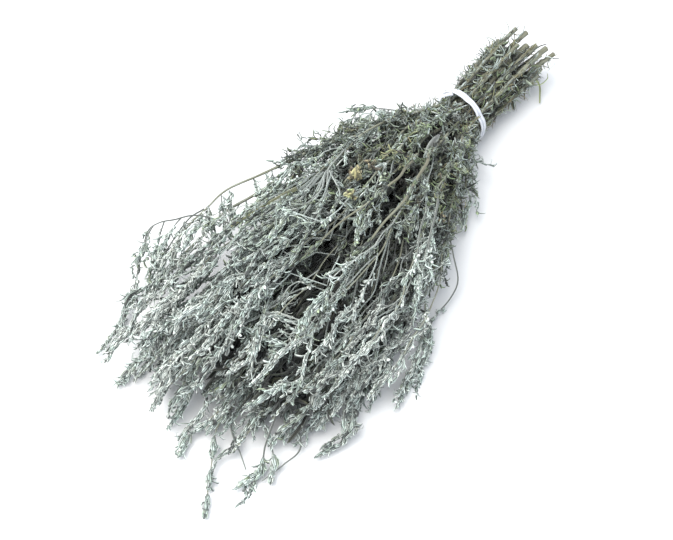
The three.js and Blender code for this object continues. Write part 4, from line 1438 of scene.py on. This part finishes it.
def dead_leaf(skin, place, tone, count, length, width, rng):
    """One dead leaf, curled into a ragged cup of petals."""
    s, y, z = place
    root = np.tile([-s, y, z], (count, 1)) + rng.normal(0, CUP_SCATTER, (count, 3))
    axis = unit(np.array(CUP_AXIS) + rng.normal(0, CUP_TILT, (count, 3)))
    turn = 2 * np.pi * np.arange(count) / count + rng.uniform(-CUP_TURN, CUP_TURN, count)
    ahead, up = spread_round(axis, any_across(axis), turn, rng.uniform(*CUP_LEAN, count))
    length = length * rng.uniform(*CUP_SIZES, count)
    width = width * rng.uniform(*CUP_SIZES, count)
    curl = rng.uniform(*CUP_CURL, count)
    tone = tone + rng.normal(0, CUP_TONES, count)
    wave = rng.normal(0, CUP_WAVE, count)
    spikes(skin, root, ahead, up, length, width, curl, tone, PETAL_OUTLINE, wave)


def single_leaves(materials, rng):
    """The curled dead leaves, the flat dark ones and the curled ones at the right side."""
    skin = Skin()
    for place, tone, count, length, width in DEAD_LEAVES:
        dead_leaf(skin, place, tone, count, length, width, rng)
    skin.depth = FLAT_DEPTH
    for (s, y, z), ahead, length, width, tone in FLAT_LEAVES:
        one_leaf(skin, (-s, y, z), ahead, FLAT_FACING, length, width, FLAT_CURL, tone)
    skin.depth = 0
    for s, y, z in EDGE_CURLS:
        ahead = (rng.uniform(*EDGE_AHEAD), -1, rng.uniform(*EDGE_UP))
        curl = rng.uniform(*EDGE_CURL)
        root = (-s, y + EDGE_ROOT, z)
        one_leaf(skin, root, ahead, (0, 0, 1), EDGE_LENGTH, EDGE_WIDTH, curl, EDGE_TONE, EDGE_WAVE)
    return skin.make("single_leaves", materials)


# Two green curls and a bare twig's loop among the cut ends, as points (s, y, z), radius and tone
CURLED_SHOOTS = [
    ([(-56, -20, 16), (-64, -25, 14), (-66, -30, 8), (-60, -34, 3), (-56, -36, 2)], 1.1, 0.33),
    ([(-54, -24, 16), (-63, -31, 12), (-68, -34, 15), (-69, -33, 19)], 0.6, 0.36),
    ([(-60, -18, 26), (-71, -22, 26), (-77, -29, 27), (-78, -34, 22), (-73, -32, 18)], 0.45, 0.9),
]
CURL_STEPS, CURL_TAPER = 36, 0.45


def curled_shoots(materials):
    """The green curls and the bare twig loop that stand out among the cut ends."""
    skin = Skin()
    for points, radius, tone in CURLED_SHOOTS:
        path = smooth_through([nearest_stem(*points[0]), *points[1:]], CURL_STEPS)
        thin_stalk(skin, path, np.linspace(radius, radius * CURL_TAPER, CURL_STEPS), tone)
    return skin.make("curled_shoots", materials)


BRIGHTEST = (0.85, 0.85, 0.85)  # no real surface is brighter


class Field:
    """A socket of a node tree. Arithmetic on it adds Math nodes."""

    def __init__(self, tree, socket):
        self.tree = tree
        self.socket = socket

    def made(self, kind, settings, sockets, output=0):
        """The output of a new node of this kind, its settings made first and then its sockets."""
        node = self.tree.nodes.new(kind)
        for name, value in settings.items():
            if name == "stops":
                self.set_stops(node.color_ramp, value)
            else:
                setattr(node, name, value)
        for name, value in sockets.items():
            if isinstance(value, Field):
                self.tree.links.new(value.socket, node.inputs[name])
            else:
                node.inputs[name].default_value = value
        return Field(self.tree, node.outputs[output])

    @staticmethod
    def set_stops(ramp, stops):
        """Give a ramp these stops, each a place and a colour."""
        while len(ramp.elements) < len(stops):
            ramp.elements.new(1)
        for element, (place, colour) in zip(ramp.elements, stops):
            element.position = place
            element.color = (*colour, 1)

    def maths(self, operation, first, second):
        """A Math node of two values."""
        return self.made("ShaderNodeMath", {"operation": operation}, {0: first, 1: second})

    def __add__(self, other):
        return self.maths("ADD", self, other)

    __radd__ = __add__

    def __sub__(self, other):
        return self.maths("SUBTRACT", self, other)

    def __rsub__(self, other):
        return self.maths("SUBTRACT", other, self)

    def __mul__(self, other):
        return self.maths("MULTIPLY", self, other)

    __rmul__ = __mul__

    def __truediv__(self, other):
        return self.maths("DIVIDE", self, other)

    def __rtruediv__(self, other):
        return self.maths("DIVIDE", other, self)

    def rounded(self, operation):
        """This value through a one-sided step such as FLOOR, FRACT or ABSOLUTE."""
        return self.made("ShaderNodeMath", {"operation": operation}, {0: self})

    def ramp(self, stops):
        """A colour that follows this value through its stops."""
        return self.made("ShaderNodeValToRGB", {"stops": stops}, {"Fac": self})

    def noise(self, scale, detail=3.0):
        """A value from 0 to 1 that varies over this place."""
        return self.made("ShaderNodeTexNoise", {}, {"Vector": self, "Scale": scale, "Detail": detail})

    def between(self, low, high):
        """A colour this far from low to high."""
        sockets = {"Factor": self, 6: (*low, 1), 7: (*high, 1)}
        return self.made("ShaderNodeMix", {"data_type": "RGBA"}, sockets, 2)

    def dimmed(self, value):
        """This colour times a value."""
        return self.made("ShaderNodeVectorMath", {"operation": "SCALE"}, {0: self, "Scale": value})

    def capped(self):
        """This colour, no brighter than a real surface."""
        return self.made("ShaderNodeVectorMath", {"operation": "MINIMUM"}, {0: self, 1: BRIGHTEST})

    def bumped(self, strength, distance):
        """A normal raised by this value."""
        sockets = {"Height": self, "Strength": strength, "Distance": distance}
        return self.made("ShaderNodeBump", {}, sockets)


def new_finish(name, **uniform):
    """A material whose shader has these uniform values, the place on its map, and the shader."""
    material = bpy.data.materials.new(name)
    material.use_nodes = True
    tree = material.node_tree
    shader = tree.nodes["Principled BSDF"]
    for socket, value in uniform.items():
        shader.inputs[socket.replace("_", " ").title()].default_value = value
    start = Field(tree, None)
    place = start.made("ShaderNodeUVMap", {"uv_map": MAP_NAME}, {})
    return material, place, shader


def split(place):
    """The across and up values of a place on the map."""
    across = place.made("ShaderNodeSeparateXYZ", {}, {"Vector": place})
    return across, Field(place.tree, across.socket.node.outputs[1])


def joined(across, up):
    """A place from its two values."""
    return across.made("ShaderNodeCombineXYZ", {}, {"X": across, "Y": up})


def connect(shader, **fields):
    """Link fields to the shader's sockets of these names."""
    for socket, field in fields.items():
        target = shader.inputs[socket.replace("_", " ").title()]
        field.tree.links.new(field.socket, target)


# How fine each finish's pattern is across and along, in waves on its map
FELT, FIBRE, PATCH, GRAIN, WEAR = (160, 7), (26, 24), (2, 34), (12, 300), (30, 3)
FIBRE_DETAIL = 4.0

# What each pattern adds to a finish's painted light and shade, tone, roughness and relief
# painted shade: a form is darker at its root, deeper in the tangle, and lighter towards its tip
ROOT_PAINTED_LIGHT, TIP_PAINTED_LIGHT = 0.36, 0.9
# painted shade in a lobe's groove and on its keel, painted highlight on its rolled margins
GROOVE_PAINTED_SHADE, MARGIN_PAINTED_HIGHLIGHT = 0.2, 1.5
FELT_LIGHT, FELT_TONE, FELT_RELIEF = 0.35, 0.06, 0.4
BARK_START, BARK_RISE, PATCH_TONE, FIBRE_TONE = 0.17, 0.5, 0.8, 0.9
GRAIN_TONE, GRAIN_DARK, GRAIN_LIGHT = 0.2, 0.7, 0.6
# painted shade between the elastic's lines, and its wear
LINE_PAINTED_SHADE, WEAR_SHADE, WEAVE_RELIEF = 0.6, 0.6, 0.3


def leaf_finish(colours):
    """Dry felted leaf: painted shade in the groove between rolled margins with painted highlights,
    painted shade towards the root and on deeper rows.
    """
    material, place, shader = new_finish("felted_leaf", sheen_weight=0.15, sheen_roughness=0.6)
    across, up = split(place)
    strip = across * TONE_STRIPS
    tone = (strip.rounded("FLOOR") + 0.5) / TONE_STRIPS
    margin = ((strip.rounded("FRACT") - 0.5) * 2).rounded("ABSOLUTE")
    row = up / LEAF_ROW
    share = row.rounded("FRACT")
    depth = row.rounded("FLOOR")
    felt = joined(across * FELT[0], row * FELT[1]).noise(1.0)
    stops = [
        (TONE_DEAD, colours.dead),
        (TONE_BROWN, colours.brown),
        (TONE_OCHRE, colours.ochre),
        (TONE_OLIVE, colours.olive),
        (TONE_GREEN, colours.green),
        (TONE_GREY_GREEN, colours.grey_green),
        (TONE_SILVER, colours.silver),
        (TONE_PALE_SILVER, colours.pale_silver),
        (TONE_STRAW, colours.straw),
    ]
    # painted light and shade: darker at the root and in the groove, painted highlight on the margins
    light = (ROOT_PAINTED_LIGHT + share * TIP_PAINTED_LIGHT) * (GROOVE_PAINTED_SHADE + margin * margin * MARGIN_PAINTED_HIGHLIGHT)
    # painted shade: each deeper row of the map is darker
    light = (light + (felt - 0.5) * FELT_LIGHT) * (1 - depth * DEPTH_PAINTED_SHADE)
    shade = (tone + (felt - 0.5) * FELT_TONE).ramp(stops).dimmed(light).capped()
    height = margin + felt * FELT_RELIEF
    connect(shader, base_color=shade, roughness=0.7 + felt * 0.25, normal=height.bumped(0.4, 0.0003))
    return material


def bark_finish(colours):
    """Stalk bark: lengthwise fibres, olive brown at the cut end and paler up the stalk."""
    material, place, shader = new_finish("stalk_bark", sheen_weight=0.1)
    turn, up = split(place)
    share = (up - BARK_MAP[0]) / (BARK_MAP[1] - BARK_MAP[0])
    fibre = joined(turn * FIBRE[0], share * FIBRE[1]).noise(1.0, FIBRE_DETAIL)
    patch = joined(turn * PATCH[0], share * PATCH[1]).noise(1.0)
    stops = [
        (0.0, colours.bark_dark),
        (0.35, colours.bark_brown),
        (0.6, colours.bark_pale),
        (1.0, colours.straw),
    ]
    shade = share * BARK_RISE + (patch - 0.5) * PATCH_TONE + (fibre - 0.5) * FIBRE_TONE + BARK_START
    relief = fibre.bumped(0.6, 0.0004)
    connect(shader, base_color=shade.ramp(stops), roughness=0.6 + fibre * 0.3, normal=relief)
    return material


def cut_finish(colours):
    """The cut face: pale pith, a woody ring and a dark rim."""
    material, place, shader = new_finish("cut_wood")
    out, turn = split(place)
    grain = joined(out * GRAIN[0], turn * GRAIN[1]).noise(1.0)
    stops = [
        (0.0, colours.pith),
        (0.5, colours.wood),
        (0.75, colours.bark_dark),
        (0.97, colours.bark_brown),
    ]
    shade = (out + (grain - 0.5) * GRAIN_TONE).ramp(stops).dimmed(GRAIN_DARK + grain * GRAIN_LIGHT)
    connect(shader, base_color=shade, roughness=0.75 + grain * 0.2, normal=grain.bumped(0.5, 0.0003))
    return material


def elastic_finish(colours):
    """White knitted elastic: fine lines along it with painted shade between them, worn patches, and a
    faint weave across them.
    """
    material, place, shader = new_finish("white_elastic", sheen_weight=0.3, sheen_roughness=0.4)
    turn, across = split(place)
    lines = (across * (2 * math.pi * BAND_LINES)).rounded("SINE") * 0.5 + 0.5
    weave = (turn * (2 * math.pi * BAND_WEAVE)).rounded("SINE") * 0.5 + 0.5
    wear = joined(turn * WEAR[0], across * WEAR[1]).noise(1.0)
    # painted shade between the lines, and wear, mix towards the darker colour
    shade = (lines * LINE_PAINTED_SHADE + wear * WEAR_SHADE).between(colours.elastic_wear_and_painted_shade, colours.elastic)
    relief = (lines + weave * WEAVE_RELIEF).bumped(0.5, 0.0003)
    connect(shader, base_color=shade, roughness=0.5 + wear * 0.2, normal=relief)
    return material


def length_property(name, description, default):
    """A length in metres that a user may change."""
    return FloatProperty(
        name=name, description=description, default=default, subtype="DISTANCE", unit="LENGTH"
    )


def angle_property(name, description, degrees):
    """An angle that a user may change."""
    return FloatProperty(
        name=name, description=description, default=math.radians(degrees),
        subtype="ANGLE", unit="ROTATION",
    )


def power_property(name, description, watts):
    """A light's power that a user may change."""
    return FloatProperty(name=name, description=description, default=watts, unit="POWER")


def colour_property(name, description, default):
    """A colour that a user may change."""
    return FloatVectorProperty(
        name=name, description=description, default=default, subtype="COLOR", size=3, min=0, max=1
    )


class BunchSizes(bpy.types.PropertyGroup):
    """Sizes of the fine growth."""

    side_shoots: IntProperty(
        name="Side shoots", description="Extra flowering shoots on a long stem", default=5, min=0
    )
    flowering_from: length_property(
        "Flowering from", "Distance from the band to the first flowering shoot", 0.058
    )
    shoot_length: length_property("Shoot length", "Usual length of a flowering shoot", 0.092)
    shoot_reach: length_property(
        "Shoot reach", "How far a flowering shoot stands off its stem", 0.011
    )
    sprig_step: length_property(
        "Sprig step", "Distance from one twiglet to the next along a shoot", 0.0059
    )
    twiglet_length: length_property(
        "Twiglet length", "Usual length of a flowering twiglet", 0.012
    )
    bract_length: length_property(
        "Bract length", "Usual length of the small leaves among the buds", 0.0063
    )
    bract_width: length_property(
        "Bract width", "Usual width of the small leaves among the buds", 0.0016
    )
    bud_length: length_property("Bud length", "Usual length of a flower bud", 0.0028)
    strip_step: length_property(
        "Strip step", "Distance between the dry strips behind the band", 0.003
    )
    strip_length: length_property(
        "Strip length", "Usual length of the dry strips behind the band", 0.009
    )
    leaf_step: length_property(
        "Leaf step", "Distance from one leaf to the next along a stem", 0.0036
    )
    leaf_length: length_property("Leaf length", "Usual length of a leaf", 0.016)
    lobe_length: length_property("Lobe length", "Usual length of a leaf's narrow lobes", 0.0068)
    lobe_width: length_property("Lobe width", "Usual width of a leaf's narrow lobes", 0.0011)


class BunchColours(bpy.types.PropertyGroup):
    """Colours of the dried herb and of the elastic."""

    dead: colour_property("Dead leaf", "Darkest dead leaves", (0.07, 0.05, 0.03))
    brown: colour_property("Brown leaf", "Dead brown leaves", (0.24, 0.2, 0.13))
    ochre: colour_property("Ochre leaf", "Yellowed leaves", (0.36, 0.32, 0.15))
    olive: colour_property("Olive leaf", "Leaves that turn from green to yellow", (0.46, 0.48, 0.24))
    green: colour_property("Green leaf", "Leaves that kept their green", (0.31, 0.43, 0.2))
    grey_green: colour_property("Grey-green leaf", "Most leaves near the band", (0.44, 0.505, 0.37))
    silver: colour_property("Silver leaf", "Most of the plumes", (0.65, 0.785, 0.7))
    pale_silver: colour_property("Pale silver leaf", "The palest leaves and buds", (0.84, 0.95, 0.88))
    straw: colour_property("Straw", "Thin dry stalks", (0.8, 0.86, 0.78))
    bark_dark: colour_property("Dark bark", "Grooves and cut ends", (0.08, 0.07, 0.045))
    bark_brown: colour_property("Brown bark", "Stalks near the band", (0.14, 0.14, 0.095))
    bark_pale: colour_property("Pale bark", "Stalks in the middle of the bunch", (0.2, 0.21, 0.165))
    pith: colour_property("Pith", "The middle of a cut stalk", (0.72, 0.68, 0.5))
    wood: colour_property("Wood", "The ring round the pith", (0.42, 0.38, 0.24))
    elastic: colour_property("Elastic", "The band", (0.52, 0.53, 0.55))
    # painted shade between the band's lines, and wear
    elastic_wear_and_painted_shade: colour_property("Elastic grooves", "Between the band's lines", (0.24, 0.26, 0.31))


class StageSettings(bpy.types.PropertyGroup):
    """The floor, the lights and the camera."""

    floor: colour_property("Floor", "The pale floor", (0.55, 0.55, 0.55))
    key_power: power_property("Key light", "Power of the main light", 34)
    fill_power: power_property("Fill light", "Power of the fill light", 4)
    sky: FloatProperty(name="Sky", description="Brightness of the surroundings", default=1.5)
    elevation: angle_property("Camera elevation", "Angle of the camera above the table", 55)
    heading: angle_property(
        "Camera heading", "Angle from the bunch's +Y side to the way the camera looks", -58.5
    )
    distance: length_property(
        "Camera distance", "From the lens to the middle of the picture", 0.7293
    )
    lens: FloatProperty(
        name="Lens", description="Focal length", default=60.02, subtype="DISTANCE_CAMERA"
    )


# The stage, in metres. Places of lights are to the right, ahead and up from the picture's middle.
FLOOR_SIZE, FLOOR_ROUGHNESS = 6.0, 0.8
TIE_RIGHT, TIE_BEYOND = 0.087, 0.117  # of the band, from the middle of the picture, on the table
SENSOR_WIDTH = 36
UP = Vector((0, 0, 1))
KEY_PLACE, KEY_SIZE, KEY_COLOUR = (-0.5, -0.1, 1.3), 1.4, (1, 0.975, 0.935)
FILL_PLACE, FILL_SIZE, FILL_COLOUR = (0.4, -0.8, 0.9), 1.2, (0.92, 0.96, 1)
SKY_COLOUR = (0.86, 0.92, 1, 1)


def lay_floor(scene, stage):
    """The plain pale floor, which isn't part of the bunch."""
    half = FLOOR_SIZE / 2
    corners = [(-half, -half, 0), (half, -half, 0), (half, half, 0), (-half, half, 0)]
    mesh = bpy.data.meshes.new("floor")
    mesh.from_pydata(corners, [], [(0, 1, 2, 3)])
    floor = bpy.data.objects.new("floor", mesh)
    scene.collection.objects.link(floor)
    material = bpy.data.materials.new("pale_floor")
    material.use_nodes = True
    shader = material.node_tree.nodes["Principled BSDF"]
    shader.inputs["Base Color"].default_value = (*stage.floor, 1)
    shader.inputs["Roughness"].default_value = FLOOR_ROUGHNESS
    mesh.materials.append(material)


def ground_directions(stage):
    """The camera's right and its way ahead, along the table."""
    turn = stage.heading
    ahead = Vector((-math.sin(turn), math.cos(turn), 0))
    return Vector((ahead.y, -ahead.x, 0)), ahead


def picture_middle(stage):
    """The point of the table in the middle of the picture."""
    right, ahead = ground_directions(stage)
    tie = Vector((BAND_MIDDLE.x, BAND_MIDDLE.y, 0))
    return tie - right * TIE_RIGHT - ahead * TIE_BEYOND


def set_camera(scene, stage):
    """The camera, at the settings' height and heading over the table."""
    _, ahead = ground_directions(stage)
    target = picture_middle(stage)
    back = UP * math.sin(stage.elevation) - ahead * math.cos(stage.elevation)
    data = bpy.data.cameras.new("camera")
    data.lens = stage.lens
    data.sensor_width = SENSOR_WIDTH
    camera = bpy.data.objects.new("camera", data)
    camera.location = target + back * stage.distance
    camera.rotation_euler = (-back).to_track_quat("-Z", "Y").to_euler()
    scene.collection.objects.link(camera)
    scene.camera = camera


def area_light(scene, stage, name, place, size, power, colour):
    """A soft round light that faces the middle of the picture."""
    right, ahead = ground_directions(stage)
    target = picture_middle(stage)
    place = target + right * place[0] + ahead * place[1] + UP * place[2]
    data = bpy.data.lights.new(name, "AREA")
    data.shape = "DISK"
    data.size = size
    data.energy = power
    data.color = colour
    light = bpy.data.objects.new(name, data)
    light.location = place
    light.rotation_euler = (target - place).to_track_quat("-Z", "Y").to_euler()
    scene.collection.objects.link(light)


def set_lights(scene, stage):
    """The main light, the fill light and the pale surroundings."""
    area_light(scene, stage, "key_light", KEY_PLACE, KEY_SIZE, stage.key_power, KEY_COLOUR)
    area_light(scene, stage, "fill_light", FILL_PLACE, FILL_SIZE, stage.fill_power, FILL_COLOUR)
    world = bpy.data.worlds.new("surroundings")
    world.use_nodes = True
    background = world.node_tree.nodes["Background"]
    background.inputs["Color"].default_value = SKY_COLOUR
    background.inputs["Strength"].default_value = stage.sky
    scene.world = world
    scene.view_settings.view_transform = "Standard"


class HERB_OT_leafy_stems(bpy.types.Operator):
    """Grow the leafy stems with their leaves, shoots and buds"""

    bl_idname = "herb.leafy_stems"
    bl_label = "Leafy stems"

    def execute(self, context):
        if not GROWTHS:
            raise RuntimeError("The packed model has no leafy stems to grow")
        scene = context.scene
        materials = [finish(scene.herb_colours) for finish in (leaf_finish, bark_finish, cut_finish)]
        for growth in GROWTHS:
            piece = leafy_stem(growth, scene.herb_sizes, materials)
            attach(piece, "root")
            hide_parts(STEM_NODES[growth.i])
        return {"FINISHED"}


class HERB_OT_elastic_band(bpy.types.Operator):
    """Wrap the white elastic band round the stems"""

    bl_idname = "herb.elastic_band"
    bl_label = "Elastic band"

    def execute(self, context):
        if "band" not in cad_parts:
            raise RuntimeError("The packed model has no band to replace")
        piece = elastic_band([elastic_finish(context.scene.herb_colours)])
        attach(piece, "root")
        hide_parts("band")
        return {"FINISHED"}


class HERB_OT_loose_growth(bpy.types.Operator):
    """Add the loose sprays round the bunch and the curled shoots among the cut ends"""

    bl_idname = "herb.loose_growth"
    bl_label = "Loose growth"

    def execute(self, context):
        sizes = context.scene.herb_sizes
        materials = [bpy.data.materials.get(name) for name in ("felted_leaf", "stalk_bark", "cut_wood")]
        if None in materials:
            raise RuntimeError("Grow the leafy stems first, because loose growth has their finishes")
        rng = np.random.default_rng(SEED)
        pieces = [curled_shoots(materials), single_leaves(materials, rng)]
        pieces.append(combed_stalks(sizes, materials, rng))
        pieces.append(lower_shoots(sizes, materials, rng))
        pieces.append(inner_leaves(materials, rng))
        for name, spray in LOOSE_SPRAYS.items():
            pieces.append(loose_spray(name, spray, sizes, materials, rng))
        for piece in pieces:
            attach(piece, "root")
        return {"FINISHED"}


class HERB_OT_stage(bpy.types.Operator):
    """Set out the floor, the lights and the camera"""

    bl_idname = "herb.stage"
    bl_label = "Stage"

    def execute(self, context):
        scene = context.scene
        stage = scene.herb_stage
        if stage.distance <= 0:
            raise RuntimeError("The camera needs some distance from the bunch")
        lay_floor(scene, stage)
        set_lights(scene, stage)
        set_camera(scene, stage)
        return {"FINISHED"}


class HERB_PT_bunch(bpy.types.Panel):
    """The bunch's settings and steps"""

    bl_label = "Wormwood bunch"
    bl_idname = "HERB_PT_bunch"
    bl_space_type = "VIEW_3D"
    bl_region_type = "UI"
    bl_category = "Wormwood"

    def draw(self, context):
        layout = self.layout
        for group in (context.scene.herb_sizes, context.scene.herb_colours, context.scene.herb_stage):
            box = layout.box()
            for name in group.__annotations__:
                box.prop(group, name)
        for operator in STEPS:
            layout.operator(operator.bl_idname)


STEPS = (HERB_OT_leafy_stems, HERB_OT_elastic_band, HERB_OT_loose_growth, HERB_OT_stage)
CLASSES = (BunchSizes, BunchColours, StageSettings, *STEPS, HERB_PT_bunch)


def register():
    for cls in CLASSES:
        bpy.utils.register_class(cls)
    bpy.types.Scene.herb_sizes = PointerProperty(type=BunchSizes)
    bpy.types.Scene.herb_colours = PointerProperty(type=BunchColours)
    bpy.types.Scene.herb_stage = PointerProperty(type=StageSettings)


def unregister():
    del bpy.types.Scene.herb_stage
    del bpy.types.Scene.herb_colours
    del bpy.types.Scene.herb_sizes
    for cls in reversed(CLASSES):
        bpy.utils.unregister_class(cls)


def main():
    register()
    bpy.ops.herb.leafy_stems()
    bpy.ops.herb.elastic_band()
    bpy.ops.herb.loose_growth()
    bpy.ops.herb.stage()


if __name__ == "__main__":
    main()
